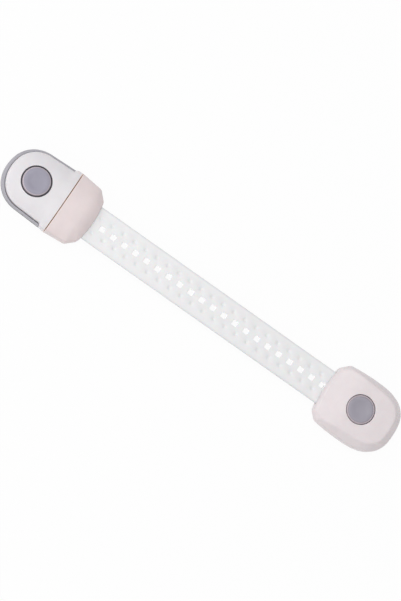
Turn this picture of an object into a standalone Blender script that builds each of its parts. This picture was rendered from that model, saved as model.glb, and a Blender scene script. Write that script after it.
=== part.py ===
"""Child safety strap lock: a latch head that lifts off its adhesive tray, a holed strap, and an adjuster head."""

import math

import bmesh
import bpy
from mathutils import Matrix, Vector

# Every size is in metres. +X runs along the strap from the latch head to the adjuster head, +Z is up.
# The origin is on the axis of the latch head's button, on the bonding face of its adhesive pad.

# Clearances
GAP = 0.0003                 # between pieces that touch or slide on each other
SEAM_GAP = 0.00035           # the open seam between the latch cover and the strap cap

# Adhesive pads
PAD_THICKNESS = 0.0009
PAD_INSET = 0.0008

# Strap
STRAP_WIDTH = 0.0168
STRAP_THICKNESS = 0.0012
HOLE_PITCH = 0.006
HOLE_SIZE = 0.0024
HOLE_COUNT = 27
SEAM_TO_HOLE = 0.00305       # from the head's seam to the first hole's centre
STRAP_END_MARGIN = 0.0032    # from the last hole's centre to the free end
PIP_RADIUS = 0.0021
PIP_HEIGHT = 0.0003
PIP_OFFSET = 0.0048          # from the strap's centre line to a pip's centre
PEG_COUNT = 2                # holes that sit on the latch chassis's pegs
PEG_OVER = 0.0002            # how far a peg stands above the strap

# Latch head, plan view
NOSE_RADIUS = 0.0145         # outside of the tray's rim
RIM_WALL = 0.0008
RIM_NOSE = 0.0003            # how much thicker the rim is at the middle of the nose
RIM_GAP = GAP                # between the rim and the latch cover
RIM_END_X = 0.0120
NOSE_EXPONENT = 2.12         # squareness of the rounded nose, where 2 is a circle
SEAM_X = 0.0149
RIM_FLARE = 0.0006           # how far each side of the rim would open from the nose to the seam
SHOULDER_STEP = 0.0002       # how far the shoulders stand out past the rim
HEAD_FLARE = 0.0009          # the head's half width at the seam, over the nose's radius
CAP_SIDE_LENGTH = 0.0108     # from the seam to the cap's corner
CAP_SIDE_TAPER = 0.0010
CAP_CORNER = 0.0040          # how far the cap's corner is cut back, each way
CAP_CORNER_RADIUS = 0.0024
CAP_NOSE = 0.0012            # how far the cap's front edge bows out

# Latch head, heights
TRAY_FLOOR = 0.0012
RIM_HEIGHT = 0.0037
TONGUE_HEIGHT = 0.0064       # from the tray's underside to the cover's top edge
HEAD_CROWN = 0.0020          # the cover's rise from its edge to its middle
CROWN_POWER = 2.6            # how late the crown falls away towards the edge
RIDGE_REACH = 0.0085         # how far the roof's ridge runs past the seam
CAP_DROP = 0.0012            # how far the cap's roof falls towards the strap
COVER_WALL = 0.0012
COVER_EDGE_RADIUS = 0.0015
COVER_EDGE_TURN = 70         # degrees that the rounded edge turns before it meets the crown

# Latch works
CHASSIS_THICKNESS = 0.0009
STRAP_BED = 0.0006           # chassis thickness under the strap
CHANNEL_WALL = 0.0010        # thickness of the walls beside the strap
CLIP_WIRE = 0.0006
CLIP_CLEARANCE = 0.0005      # between the clip's bend and the cover's wall
CLIP_REACH = 0.0084          # from the stud to where the clip's ends turn out
CLIP_FLARE = 0.0012
STUD_NECK_RADIUS = 0.0018
STUD_GRIP = 0.0012           # how far the stud's head stands out past its neck
STUD_HEAD = 0.0006
STUD_LEAD_IN = 0.0006
KEEPER_THICKNESS = 0.0005
KEEPER_MARGIN = 0.0013       # from a keeper screw's axis to the keeper's edge
KEEPER_SCREW = 0.00055       # shank radius
KEEPER_SCREW_HEAD = 0.0007
PILLAR_RADIUS = 0.0016
WEDGE_THICKNESS = 0.0014
PLUNGER_RING = 0.0006        # height of the ring under the button

# Buttons
BUTTON_A_RADIUS = 0.0063
BUTTON_A_GAP = 0.0007        # the dark ring round the button
BUTTON_A_PROUD = 0.0003      # above the cover
BUTTON_B_RADIUS = 0.0064
BUTTON_B_GAP = 0.0005
BUTTON_B_DROP = 0.0001       # below the adjuster cover
BUTTON_B_DISH = 0.0004
BUTTON_SKIN = 0.0011
BUTTON_EDGE = 0.00025
BOSS_INSET = 0.0007          # from a button's edge to its boss
BOSS_WALL = 0.0008
RING_LIP = 0.0004            # how far a button's ring reaches under the cover
TRAVEL_A = 0.0012
TRAVEL_B = 0.0010
SPRING_WIRE = 0.0004
SPRING_TAPER = 0.0003
SPRING_TURNS = 2

# Adjuster head, plan view, from the axis of its button
LOCK_HOLE = 24               # the strap hole that the lock's tooth sits in, counted from 0
TOOTH_DISTANCE = 0.0136      # from the tooth to the button's axis
ADJUSTER_FRONT = 0.0183
ADJUSTER_REAR = 0.0195
ADJUSTER_SIDE = 0.00695      # from the strap's channel to the outside
ADJUSTER_EXPONENT = 2.7      # squareness of the rounded rear end
FRONT_SLOPE = 0.0009         # how far the sides close in towards the front
FRONT_CORNER = 0.0033        # how far the front corner is cut back, each way
FRONT_CORNER_RADIUS = 0.0028
FRONT_NOSE = 0.0014

# Adjuster head, heights
ADJUSTER_HEIGHT = 0.0088     # from the base's underside to the flat top
ADJUSTER_BEVEL_WIDTH = 0.0031
REAR_BEVEL = 0.0035
ADJUSTER_BEVEL_HEIGHT = 0.0040
ADJUSTER_DROP = 0.0032       # how far the top falls towards the strap
DROP_START = 0.0045          # the flat top's reach in front of the button
FRONT_BEVEL = 0.0012
ADJUSTER_FLOOR = 0.0010

# Adjuster works
LEAF_THICKNESS = 0.0005
LEAF_HALF_WIDTH = 0.0038
LEAF_TIP = 0.8               # the leaf's width at its tip, as a share of its width
LEAF_EAR = 0.0022            # half length of the leaf's ears
LEAF_CLAMP_X = 0.0110
LEAF_PEG = 0.0008
TOOTH_HEIGHT = 0.0012
YOKE_LEG = 0.0015            # thickness of the yoke's legs
YOKE_RING = 0.0007
GUIDE_THICKNESS = 0.0006
GUIDE_HALF_LENGTH = 0.0076
FENCE = 0.0005               # thickness of the walls that guide the strap's edges
RAIL_WIDTH = 0.0022
HOUSING_SCREW = 0.0008
HOUSING_SCREW_HEAD = 0.0016
HOUSING_SCREW_HEAD_HEIGHT = 0.0006
HOUSING_SCREW_LENGTH = 0.0045
SCREW_BOSS = 0.0017          # radius of the cover's bosses
SINK_WALL = 0.0003           # thickness round the screw heads' sinks

# Facets and display
ROUND_STEPS = 28
SMALL_STEPS = 12
EMPTY_SIZE = 0.005

# Heights, worked out from the bonding face upwards
BASE_Z = PAD_THICKNESS + GAP
TRAY_TOP = BASE_Z + TRAY_FLOOR
RIM_TOP = BASE_Z + RIM_HEIGHT
CHASSIS_Z = TRAY_TOP + GAP
CHASSIS_TOP = CHASSIS_Z + CHASSIS_THICKNESS
STRAP_Z = CHASSIS_Z + STRAP_BED + GAP
STRAP_TOP = STRAP_Z + STRAP_THICKNESS
PIP_TOP = STRAP_TOP + PIP_HEIGHT
HEAD_EDGE_Z = BASE_Z + TONGUE_HEIGHT
CLIP_Z = CHASSIS_TOP + GAP + CLIP_WIRE / 2
KEEPER_Z = CLIP_Z + CLIP_WIRE / 2 + GAP
KEEPER_TOP = KEEPER_Z + KEEPER_THICKNESS
ADJUSTER_FLOOR_TOP = BASE_Z + ADJUSTER_FLOOR
ADJUSTER_TOP = BASE_Z + ADJUSTER_HEIGHT
LEAF_TOP = STRAP_Z - GAP
LEAF_Z = LEAF_TOP - LEAF_THICKNESS
GUIDE_Z = PIP_TOP + GAP
GUIDE_TOP = GUIDE_Z + GUIDE_THICKNESS

# Places along the strap and across it
FIRST_HOLE_X = SEAM_X + SEAM_TO_HOLE
STRAP_START_X = FIRST_HOLE_X - HOLE_PITCH / 2
STRAP_END_X = FIRST_HOLE_X + HOLE_PITCH * (HOLE_COUNT - 1) + STRAP_END_MARGIN
HEAD_HALF_WIDTH = NOSE_RADIUS + HEAD_FLARE
CAP_FRONT_X = SEAM_X + CAP_SIDE_LENGTH + CAP_CORNER + CAP_NOSE
BUTTON_B_X = FIRST_HOLE_X + HOLE_PITCH * LOCK_HOLE + TOOTH_DISTANCE
CHANNEL_HALF_WIDTH = STRAP_WIDTH / 2 + GAP
ADJUSTER_HALF_WIDTH = CHANNEL_HALF_WIDTH + ADJUSTER_SIDE
TONGUE_INSET = RIM_WALL + RIM_GAP
WALL_INSET = COVER_WALL + GAP
STUD_HEAD_RADIUS = STUD_NECK_RADIUS + STUD_GRIP
CLIP_HALF_WIDTH = STUD_NECK_RADIUS + GAP + CLIP_WIRE / 2
NOSE_INSIDE = NOSE_RADIUS - RIM_NOSE - TONGUE_INSET - COVER_WALL
CLIP_BEND_X = NOSE_INSIDE - CLIP_CLEARANCE - CLIP_HALF_WIDTH - CLIP_WIRE / 2
BORE_RADIUS = STUD_HEAD_RADIUS + GAP
BUTTON_A_HOLE = BUTTON_A_RADIUS + BUTTON_A_GAP
BUTTON_B_HOLE = BUTTON_B_RADIUS + BUTTON_B_GAP
SCREW_REACH = BUTTON_A_HOLE + RING_LIP + PILLAR_RADIUS + GAP
KEEPER_RADIUS = SCREW_REACH + KEEPER_MARGIN
BOSS_RADIUS = min(BUTTON_A_RADIUS, BUTTON_B_RADIUS) - BOSS_INSET
BOSS_BORE = BOSS_RADIUS - BOSS_WALL
SPRING_RADIUS = BOSS_BORE - GAP - SPRING_WIRE / 2
RING_BORE = BOSS_RADIUS + GAP
FENCE_OUTSIDE = CHANNEL_HALF_WIDTH + FENCE
LEG_INSIDE = CHANNEL_HALF_WIDTH + GAP
LEG_OUTSIDE = LEG_INSIDE + YOKE_LEG
SCREW_X = GUIDE_HALF_LENGTH + SCREW_BOSS + GAP * 2
SCREW_Y = CHANNEL_HALF_WIDTH + SCREW_BOSS + GAP / 3

parts = None
cutters = None


def new_collection(name):
    collection = bpy.data.collections.new(name)
    bpy.context.scene.collection.children.link(collection)
    return collection


def frame(name, x, y, z, parent=None):
    """An empty that carries the pieces of one moving group."""
    empty = bpy.data.objects.new(name, None)
    empty.empty_display_size = EMPTY_SIZE
    parts.objects.link(empty)
    empty.location = (x, y, z)
    empty.parent = parent
    return empty


def from_bmesh(name, bm, parent):
    mesh = bpy.data.meshes.new(name)
    bm.to_mesh(mesh)
    bm.free()
    obj = bpy.data.objects.new(name, mesh)
    obj.parent = parent
    cutters.objects.link(obj)
    obj.hide_render = True
    obj.display_type = 'WIRE'
    return obj


def from_curve(curve_object):
    """A mesh object in place of a curve object, with the curve's loose caps welded on."""
    bpy.context.view_layer.update()
    depsgraph = bpy.context.evaluated_depsgraph_get()
    mesh = bpy.data.meshes.new_from_object(curve_object.evaluated_get(depsgraph))
    bm = bmesh.new()
    bm.from_mesh(mesh)
    bmesh.ops.remove_doubles(bm, verts=bm.verts, dist=0.000001)
    bmesh.ops.dissolve_limit(bm, angle_limit=0.001, verts=bm.verts, edges=bm.edges)
    bm.to_mesh(mesh)
    bm.free()
    name = curve_object.name
    parent = curve_object.parent
    place = curve_object.matrix_world.copy()
    bpy.data.objects.remove(curve_object)
    obj = bpy.data.objects.new(name, mesh)
    obj.parent = parent
    obj.matrix_world = place
    cutters.objects.link(obj)
    obj.hide_render = True
    obj.display_type = 'WIRE'
    return obj


def plate(name, outlines, low, high, parent):
    """A flat outline, with any holes in it, between two heights."""
    curve = bpy.data.curves.new(name, 'CURVE')
    curve.dimensions = '2D'
    curve.fill_mode = 'BOTH'
    curve.extrude = (high - low) / 2
    for outline in outlines:
        spline = curve.splines.new('POLY')
        spline.points.add(len(outline) - 1)
        for point, (x, y) in zip(spline.points, outline):
            point.co = (x, y, 0, 1)
        spline.use_cyclic_u = True
    obj = bpy.data.objects.new(name, curve)
    cutters.objects.link(obj)
    obj.parent = parent
    obj.location = (0, 0, (low + high) / 2)
    return from_curve(obj)


def wire(name, points, thickness, parent):
    """A round wire through the points, with filled ends."""
    curve = bpy.data.curves.new(name, 'CURVE')
    curve.dimensions = '3D'
    curve.bevel_depth = thickness / 2
    curve.bevel_resolution = 1
    curve.use_fill_caps = True
    spline = curve.splines.new('POLY')
    spline.points.add(len(points) - 1)
    for point, place in zip(spline.points, points):
        point.co = (*place, 1)
    obj = bpy.data.objects.new(name, curve)
    cutters.objects.link(obj)
    obj.parent = parent
    return from_curve(obj)


def turned(name, profile, x, y, parent, steps=ROUND_STEPS):
    """A turned shape: the profile's (radius, height) points run down its outer side."""
    mesh = bpy.data.meshes.new(name)
    closed = profile[0][0] > 0
    edges = [(i, i + 1) for i in range(len(profile) - 1)]
    if closed:
        edges.append((len(profile) - 1, 0))
    mesh.from_pydata([(radius, 0, height) for radius, height in profile], edges, [])
    obj = bpy.data.objects.new(name, mesh)
    cutters.objects.link(obj)
    obj.parent = parent
    obj.location = (x, y, 0)
    obj.hide_render = True
    obj.display_type = 'WIRE'
    screw = obj.modifiers.new('turn', 'SCREW')
    screw.steps = steps
    screw.render_steps = steps
    screw.use_merge_vertices = True
    screw.merge_threshold = 0.00001
    screw.use_smooth_shade = False
    return obj


def cylinder(name, radius, low, high, x, y, parent, steps=SMALL_STEPS):
    return turned(name, [(0, high), (radius, high), (radius, low), (0, low)], x, y, parent, steps)


def box(name, x_range, y_range, z_range, parent):
    bm = bmesh.new()
    bmesh.ops.create_cube(bm, size=1)
    size = [high - low for low, high in (x_range, y_range, z_range)]
    middle = [(high + low) / 2 for low, high in (x_range, y_range, z_range)]
    bmesh.ops.scale(bm, vec=size, verts=bm.verts)
    bmesh.ops.translate(bm, vec=middle, verts=bm.verts)
    return from_bmesh(name, bm, parent)


def combine(obj, other, operation):
    boolean = obj.modifiers.new(other.name, 'BOOLEAN')
    boolean.operation = operation
    boolean.solver = 'EXACT'
    boolean.object = other
    return obj


def cut(obj, *others):
    for other in others:
        combine(obj, other, 'DIFFERENCE')
    return obj


def join(obj, *others):
    for other in others:
        combine(obj, other, 'UNION')
    return obj


def keep(obj, other):
    return combine(obj, other, 'INTERSECT')


def finish(obj, colour, roughness, metallic=0.0):
    """Makes the object a piece of the lock, with its own material and shaded smooth between sharp edges."""
    cutters.objects.unlink(obj)
    parts.objects.link(obj)
    obj.hide_render = False
    obj.display_type = 'TEXTURED'
    material = bpy.data.materials.new(obj.name)
    material.use_nodes = True
    shader = material.node_tree.nodes['Principled BSDF']
    shader.inputs['Base Color'].default_value = (*colour, 1)
    shader.inputs['Roughness'].default_value = roughness
    shader.inputs['Metallic'].default_value = metallic
    material.diffuse_color = (*colour, 1)
    obj.data.materials.clear()
    obj.data.materials.append(material)
    if obj.data.polygons:
        obj.data.shade_smooth()
        obj.data.set_sharp_from_angle(angle=math.radians(35))
    return obj


def smooth_turned(obj):
    obj.modifiers['turn'].use_smooth_shade = True
    return obj


# Outlines: lists of (x, y), anticlockwise

def fillet(before, corner, after, radius, steps=5):
    """Points of an arc that rounds one corner of an outline."""
    corner = Vector(corner)
    to_before = (Vector(before) - corner).normalized()
    to_after = (Vector(after) - corner).normalized()
    half = to_before.angle(to_after) / 2
    back = radius / math.tan(half)
    centre = corner + (to_before + to_after).normalized() * (radius / math.sin(half))
    start = corner + to_before * back - centre
    turn = start.angle_signed(corner + to_after * back - centre)
    points = []
    for i in range(steps + 1):
        angle = -turn * i / steps
        cos, sin = math.cos(angle), math.sin(angle)
        points.append((centre.x + start.x * cos - start.y * sin, centre.y + start.x * sin + start.y * cos))
    return points


def bowed(front_x, bow, half_width, steps=4):
    """A gently bowed front edge, from its middle to one end."""
    ys = [half_width * i / steps for i in range(steps)]
    return [(front_x - bow * (y / half_width) ** 2, y) for y in ys]


def arc(radius, start, end, steps):
    angles = [math.radians(start + (end - start) * i / steps) for i in range(steps + 1)]
    return [(radius * math.cos(angle), radius * math.sin(angle)) for angle in angles]


def whole(half):
    """A whole outline from its half with y from 0 up, whose two end points lie on the centre line."""
    return half + [(x, -y) for x, y in reversed(half[1:-1])]


def inset(outline, distance):
    """The outline moved inwards by a distance, point by point."""
    moved = []
    count = len(outline)
    for i in range(count):
        before = Vector(outline[i - 1])
        here = Vector(outline[i])
        after = Vector(outline[(i + 1) % count])
        first = (here - before).normalized()
        second = (after - here).normalized()
        normals = Vector((-first.y, first.x)) + Vector((-second.y, second.x))
        moved.append(tuple(here + normals * (distance / (1 + first.dot(second)))))
    return moved


def circle(radius, x=0.0, y=0.0, steps=ROUND_STEPS):
    angles = [math.tau * i / steps for i in range(steps)]
    return [(x + radius * math.cos(angle), y + radius * math.sin(angle)) for angle in angles]


def side_y(x, distance=0.0):
    """The rim's half width at x: the sides open slightly from the nose to the seam."""
    return NOSE_RADIUS - distance + RIM_FLARE * max(x, 0) / SEAM_X


def nose_arc(distance, back, steps):
    """The rounded nose, inset by a distance and moved back a little at its middle."""
    radius = NOSE_RADIUS - distance
    power = 2 / NOSE_EXPONENT
    points = [(0, radius)]
    for x, y in arc(1, 90, 180, steps)[1:]:
        points.append((-(radius - back) * abs(x) ** power, radius * abs(y) ** power))
    return points


def rim_outline(distance, back=0.0):
    """The tray's rounded nose and sides, inset by a distance, from the rim's end round to the middle of the nose."""
    return [(RIM_END_X, side_y(RIM_END_X, distance))] + nose_arc(distance, back, 12)


def floor_outline(distance):
    """The tray's floor: as wide as the rim under the tongue, and narrower inside the cap's walls."""
    tail = [(x, y) for x, y in inset(head_outline(), WALL_INSET + distance) if x > RIM_END_X and y > -GAP / 10]
    end_x = RIM_END_X + GAP - distance
    return whole(tail + [(end_x, tail[-1][1]), (end_x, side_y(end_x, distance))] + rim_outline(distance)[1:])


def pocket_outline():
    """What is cut away above the tray's floor: inside the rim, and past the rim's slanted ends."""
    step = RIM_WALL + RIM_GAP
    far = CAP_FRONT_X * 2
    half = [(far, 0), (far, far), (RIM_END_X + far, side_y(RIM_END_X) + far)]
    half += [(RIM_END_X - step + RIM_GAP, side_y(RIM_END_X) - step + RIM_GAP)]
    return whole(half + rim_outline(RIM_WALL, RIM_NOSE)[1:])


def head_outline():
    """The latch cover and the strap cap together: tongue, shoulders, sides and bowed front."""
    corner_x = SEAM_X + CAP_SIDE_LENGTH
    corner_y = HEAD_HALF_WIDTH - CAP_SIDE_TAPER
    front = (corner_x + CAP_CORNER, corner_y - CAP_CORNER)
    shoulder_x = RIM_END_X + RIM_GAP
    step = TONGUE_INSET
    half = bowed(CAP_FRONT_X, CAP_NOSE, front[1])
    half += fillet(half[-1], front, (corner_x, corner_y), CAP_CORNER_RADIUS)
    half += fillet(front, (corner_x, corner_y), (SEAM_X, HEAD_HALF_WIDTH), CAP_CORNER_RADIUS)
    half += [((corner_x + SEAM_X) / 2, (corner_y + HEAD_HALF_WIDTH) / 2)]
    half += [(SEAM_X, HEAD_HALF_WIDTH), (shoulder_x, side_y(shoulder_x) + SHOULDER_STEP)]
    half += [(shoulder_x - step, side_y(shoulder_x - step, TONGUE_INSET))]
    half += [(shoulder_x / 2, side_y(shoulder_x / 2, TONGUE_INSET))]
    half += nose_arc(TONGUE_INSET, RIM_NOSE, 10)
    return whole(half)


def adjuster_outline():
    """The adjuster head: rounded-square rear, sides that close in a little, cut corners, bowed front."""
    corner_y = ADJUSTER_HALF_WIDTH - FRONT_SLOPE
    corner_x = -ADJUSTER_FRONT + FRONT_NOSE + FRONT_CORNER
    front = (-ADJUSTER_FRONT + FRONT_NOSE, corner_y - FRONT_CORNER)
    half = []
    steps = 14
    for i in range(steps + 1):
        angle = math.pi / 2 * i / steps
        x = ADJUSTER_REAR * math.cos(angle) ** (2 / ADJUSTER_EXPONENT)
        y = ADJUSTER_HALF_WIDTH * math.sin(angle) ** (2 / ADJUSTER_EXPONENT)
        half.append((x, y))
    half.append((corner_x / 2, ADJUSTER_HALF_WIDTH - FRONT_SLOPE / 4))
    half += fillet(half[-1], (corner_x, corner_y), front, FRONT_CORNER_RADIUS)
    bow = [(-x, y) for x, y in bowed(ADJUSTER_FRONT, FRONT_NOSE, front[1])]
    half += fillet((corner_x, corner_y), front, bow[-1], FRONT_CORNER_RADIUS)
    half += reversed(bow)
    return whole(half)


# Lofted housings

def blend_in(value, start, end):
    """0 before start, 1 after end, in proportion between them."""
    return min(max((value - start) / (end - start), 0), 1)


def head_edge_z(x):
    return HEAD_EDGE_Z - CAP_DROP * blend_in(x, SEAM_X, CAP_FRONT_X) ** 1.5


def head_bottom_z(x):
    """The tongue's walls end above the tray's floor, and the full-width walls reach down beside it."""
    return CHASSIS_Z + (BASE_Z - CHASSIS_Z) * blend_in(x, RIM_END_X + RIM_GAP, SEAM_X)


def head_crown_z(x, share):
    """The roof's height at a share of the way from the middle, 0, to the edge, 1."""
    edge_down = COVER_EDGE_RADIUS * (1 - math.sin(math.radians(COVER_EDGE_TURN)))
    return head_edge_z(x) - edge_down + HEAD_CROWN * (1 - share ** CROWN_POWER)


def adjuster_drop(x):
    return ADJUSTER_DROP * blend_in(-x, DROP_START, ADJUSTER_FRONT) ** 1.6


def adjuster_roof_z(x, share=0.0):
    return ADJUSTER_TOP - adjuster_drop(x)


def adjuster_wall_z(x):
    """The top of the upright wall, where the bevel starts."""
    return min(ADJUSTER_TOP - ADJUSTER_BEVEL_HEIGHT, adjuster_roof_z(x) - FRONT_BEVEL)


def adjuster_bevel(x):
    """The bevel is widest at the rear and narrow at the front."""
    front = (FRONT_BEVEL - ADJUSTER_BEVEL_WIDTH) * blend_in(-x, 0, ADJUSTER_FRONT)
    rear = (REAR_BEVEL - ADJUSTER_BEVEL_WIDTH) * blend_in(x, 0, ADJUSTER_REAR)
    return ADJUSTER_BEVEL_WIDTH + front + rear


def lofted(name, rings, roof_z, spine, shares, sink, parent, closed):
    """A housing: rings of points go up its wall, and further rings close in on its spine under the roof."""
    inner = rings[-1]
    rings = list(rings)
    for share in shares:
        ring = []
        for x, y, z in inner:
            near = min(max(x, spine[0]), spine[1])
            place_x = near + (x - near) * share
            ring.append((place_x, y * share, roof_z(place_x, share) - sink))
        rings.append(ring)
    bm = bmesh.new()
    loops = [[bm.verts.new(point) for point in ring] for ring in rings]
    count = len(inner)
    for lower, upper in zip(loops, loops[1:]):
        for i in range(count):
            j = (i + 1) % count
            bm.faces.new((lower[i], lower[j], upper[j], upper[i]))
    if closed:
        bm.faces.new(reversed(loops[0]))
    bmesh.ops.remove_doubles(bm, verts=bm.verts, dist=0.00001)
    return from_bmesh(name, bm, parent)


def head_form(name, sink, parent, closed=False):
    """The outer form of the latch cover and strap cap, moved inwards by sink."""
    outline = inset(head_outline(), sink) if sink else head_outline()
    radius = COVER_EDGE_RADIUS
    rings = [[(x, y, head_bottom_z(x)) for x, y in outline]]
    for i in range(4):
        angle = math.radians(COVER_EDGE_TURN) * i / 3
        in_by = radius * (1 - math.cos(angle))
        down = radius * (1 - math.sin(angle)) + sink
        rings.append([(x, y, head_edge_z(x) - down) for x, y in inset(outline, in_by)])
    spine = (0, SEAM_X + RIDGE_REACH)
    shares = (0.9, 0.76, 0.58, 0.34, 0)
    return lofted(name, rings, head_crown_z, spine, shares, sink, parent, closed)


def adjuster_form(name, sink, parent, closed=False):
    """The outer form of the adjuster cover, moved inwards by sink."""
    outline = adjuster_outline()
    wall = inset(outline, sink) if sink else outline
    rings = [[(x, y, BASE_Z) for x, y in wall]]
    rings.append([(x, y, adjuster_wall_z(x) - sink / 2) for x, y in wall])
    top = []
    for start, here in zip(wall, inset(wall, 1)):
        bevel = adjuster_bevel(start[0])
        x = start[0] + (here[0] - start[0]) * bevel
        y = start[1] + (here[1] - start[1]) * bevel
        top.append((x, y, adjuster_roof_z(x) - sink))
    rings.append(top)
    spine = (-ADJUSTER_FRONT / 3, ADJUSTER_REAR / 3)
    shares = (0.75, 0.5, 0.25, 0)
    return lofted(name, rings, adjuster_roof_z, spine, shares, sink, parent, closed)


def shell(obj, edge_width=0.0):
    """Turns an open form into a moulded shell of the cover's wall thickness."""
    if edge_width:
        bevel = obj.modifiers.new('soft edges', 'BEVEL')
        bevel.width = edge_width
        bevel.segments = 1
        bevel.limit_method = 'ANGLE'
        bevel.angle_limit = math.radians(28)
    solid = obj.modifiers.new('wall', 'SOLIDIFY')
    solid.thickness = COVER_WALL
    solid.offset = -1
    solid.use_even_offset = True
    return obj


# Springs, screws and buttons

def coil_points(low, high, radius, turns):
    """Centre line of a coil whose top is a little narrower than its foot."""
    steps = int(turns * 12)
    points = []
    for i in range(steps + 1):
        share = i / steps
        angle = math.tau * turns * share
        here = radius - SPRING_TAPER * share
        points.append((here * math.cos(angle), here * math.sin(angle), low + (high - low) * share))
    return points


def button_spring(name, seat, roof, parent):
    """A coil between its seat and the roof of the button's bore."""
    low = seat + GAP + SPRING_WIRE / 2
    high = roof - GAP - SPRING_WIRE / 2
    return wire(name, coil_points(low, high, SPRING_RADIUS, SPRING_TURNS), SPRING_WIRE, parent)


def cross_recess(name, width, low, high, x, y, parent):
    """A cutter for a screw's cross recess."""
    half = width / 2
    thin = width / 7
    long = box(name, (x - half, x + half), (y - thin, y + thin), (low, high), parent)
    wide = box(name + '_b', (x - thin, x + thin), (y - half, y + half), (low, high), parent)
    return long, wide


def button(name, radius, top, dish, boss_low, boss_high, parent):
    """A round button: a disc with a bevelled edge, and a hollow boss that holds the spring."""
    roof = top - dish - BUTTON_SKIN
    profile = [(0, top - dish)]
    if dish:
        profile.append((radius * 0.4, top - dish))
        profile.append((radius * 0.7, top - dish * 0.25))
        profile.append((radius * 0.8, top))
    profile += [(radius - BUTTON_EDGE, top), (radius, top - BUTTON_EDGE), (radius, boss_high)]
    profile += [(BOSS_RADIUS, boss_high), (BOSS_RADIUS, boss_low), (BOSS_BORE, boss_low)]
    profile += [(BOSS_BORE, roof), (0, roof)]
    return smooth_turned(turned(name, profile, 0, 0, parent)), roof


def ring(name, outside, low, high, parent):
    """The ring that holds a button's boss and reaches under the cover."""
    return turned(name, [(outside, high), (outside, low), (RING_BORE, low), (RING_BORE, high)], 0, 0, parent)


# Latch head

def adhesive_pad_a(root):
    pad = plate('adhesive_pad_a', [floor_outline(PAD_INSET)], 0, PAD_THICKNESS, root)
    return finish(pad, (0.62, 0.63, 0.66), 0.9)


def base_tray(root):
    """The grey tray: floor, open rim round the tongue, and the stud that the clip grips."""
    tray = plate('base_tray', [floor_outline(0)], BASE_Z, RIM_TOP, root)
    pocket = plate('tray_pocket', [pocket_outline()], TRAY_TOP, RIM_TOP + GAP, root)
    neck_top = KEEPER_Z
    head_top = neck_top + STUD_HEAD
    tip_radius = STUD_HEAD_RADIUS - STUD_LEAD_IN
    profile = [(0, head_top + STUD_LEAD_IN), (tip_radius, head_top + STUD_LEAD_IN)]
    profile += [(STUD_HEAD_RADIUS, head_top), (STUD_HEAD_RADIUS, neck_top), (STUD_NECK_RADIUS, neck_top)]
    profile += [(STUD_NECK_RADIUS, TRAY_TOP - GAP), (0, TRAY_TOP - GAP)]
    stud = turned('tray_stud', profile, 0, 0, root, 24)
    cut(tray, pocket)
    join(tray, stud)
    return finish(tray, (0.40, 0.39, 0.44), 0.45)


def wedge_window(name, side, half_width, low, high, parent):
    middle = (RING_BORE + WEDGE_THICKNESS / 2) * side
    reach = WEDGE_THICKNESS / 2 + GAP
    return box(name, (middle - reach, middle + reach), (-half_width, half_width), (low, high), parent)


def latch_chassis(head):
    """The plate under the covers, with the strap's bed and pegs, the clip's post and the keeper's pillars."""
    chassis = plate('latch_chassis', [inset(head_outline(), WALL_INSET)], CHASSIS_Z, CHASSIS_TOP, head)
    low = CHASSIS_Z + GAP
    above = PIP_TOP + GAP
    half = CHANNEL_HALF_WIDTH
    wall_end = SEAM_X + CAP_SIDE_LENGTH
    for side in (-1, 1):
        ends = sorted((side * (half - CHANNEL_WALL), side * (half + CHANNEL_WALL)))
        wall = box(f'channel_wall_{side}', (STRAP_START_X + GAP, wall_end), ends, (low, PIP_TOP), head)
        join(chassis, wall)
    bed = CHASSIS_Z + STRAP_BED
    cut(chassis, box('strap_bed', (STRAP_START_X - GAP, CAP_FRONT_X), (-half, half), (bed, above), head))
    for i in range(PEG_COUNT):
        x = FIRST_HOLE_X + HOLE_PITCH * i
        peg = cylinder(f'strap_peg_{i}', HOLE_SIZE / 2 - GAP, low, STRAP_TOP + PEG_OVER, x, 0, head)
        join(chassis, peg)
    post_radius = CLIP_HALF_WIDTH - CLIP_WIRE / 2 - GAP * 2
    join(chassis, cylinder('clip_post', post_radius, low, KEEPER_Z - GAP, -CLIP_BEND_X, 0, head))
    for side in (-1, 1):
        y = SCREW_REACH * side
        bore = KEEPER_SCREW + GAP
        top = KEEPER_Z - GAP
        profile = [(0, CHASSIS_TOP), (bore, CHASSIS_TOP), (bore, top), (PILLAR_RADIUS, top)]
        profile += [(PILLAR_RADIUS, low), (0, low)]
        join(chassis, turned(f'pillar_{side}', profile, 0, y, head, SMALL_STEPS))
        window_half = CLIP_HALF_WIDTH + GAP
        cut(chassis, wedge_window(f'chassis_window_{side}', side, window_half, 0, above, head))
    cut(chassis, cylinder('chassis_bore', BORE_RADIUS, 0, above, 0, 0, head, 24))
    return finish(chassis, (0.82, 0.81, 0.83), 0.5)


def head_half_space(name, low_x, high_x, parent):
    reach = HEAD_HALF_WIDTH * 2
    return box(name, (low_x, high_x), (-reach, reach), (0, HEAD_EDGE_Z * 2), parent)


def latch_cover(head):
    """The white tongue with its shoulders and the button's hole, up to the seam."""
    cover = shell(head_form('latch_cover', 0, head))
    keep(cover, head_half_space('cover_side', -NOSE_RADIUS * 2, SEAM_X - SEAM_GAP / 2, head))
    cut(cover, cylinder('button_a_hole', BUTTON_A_HOLE, CHASSIS_TOP, HEAD_EDGE_Z * 2, 0, 0, head, ROUND_STEPS))
    return finish(cover, (0.86, 0.85, 0.87), 0.35)


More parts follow.
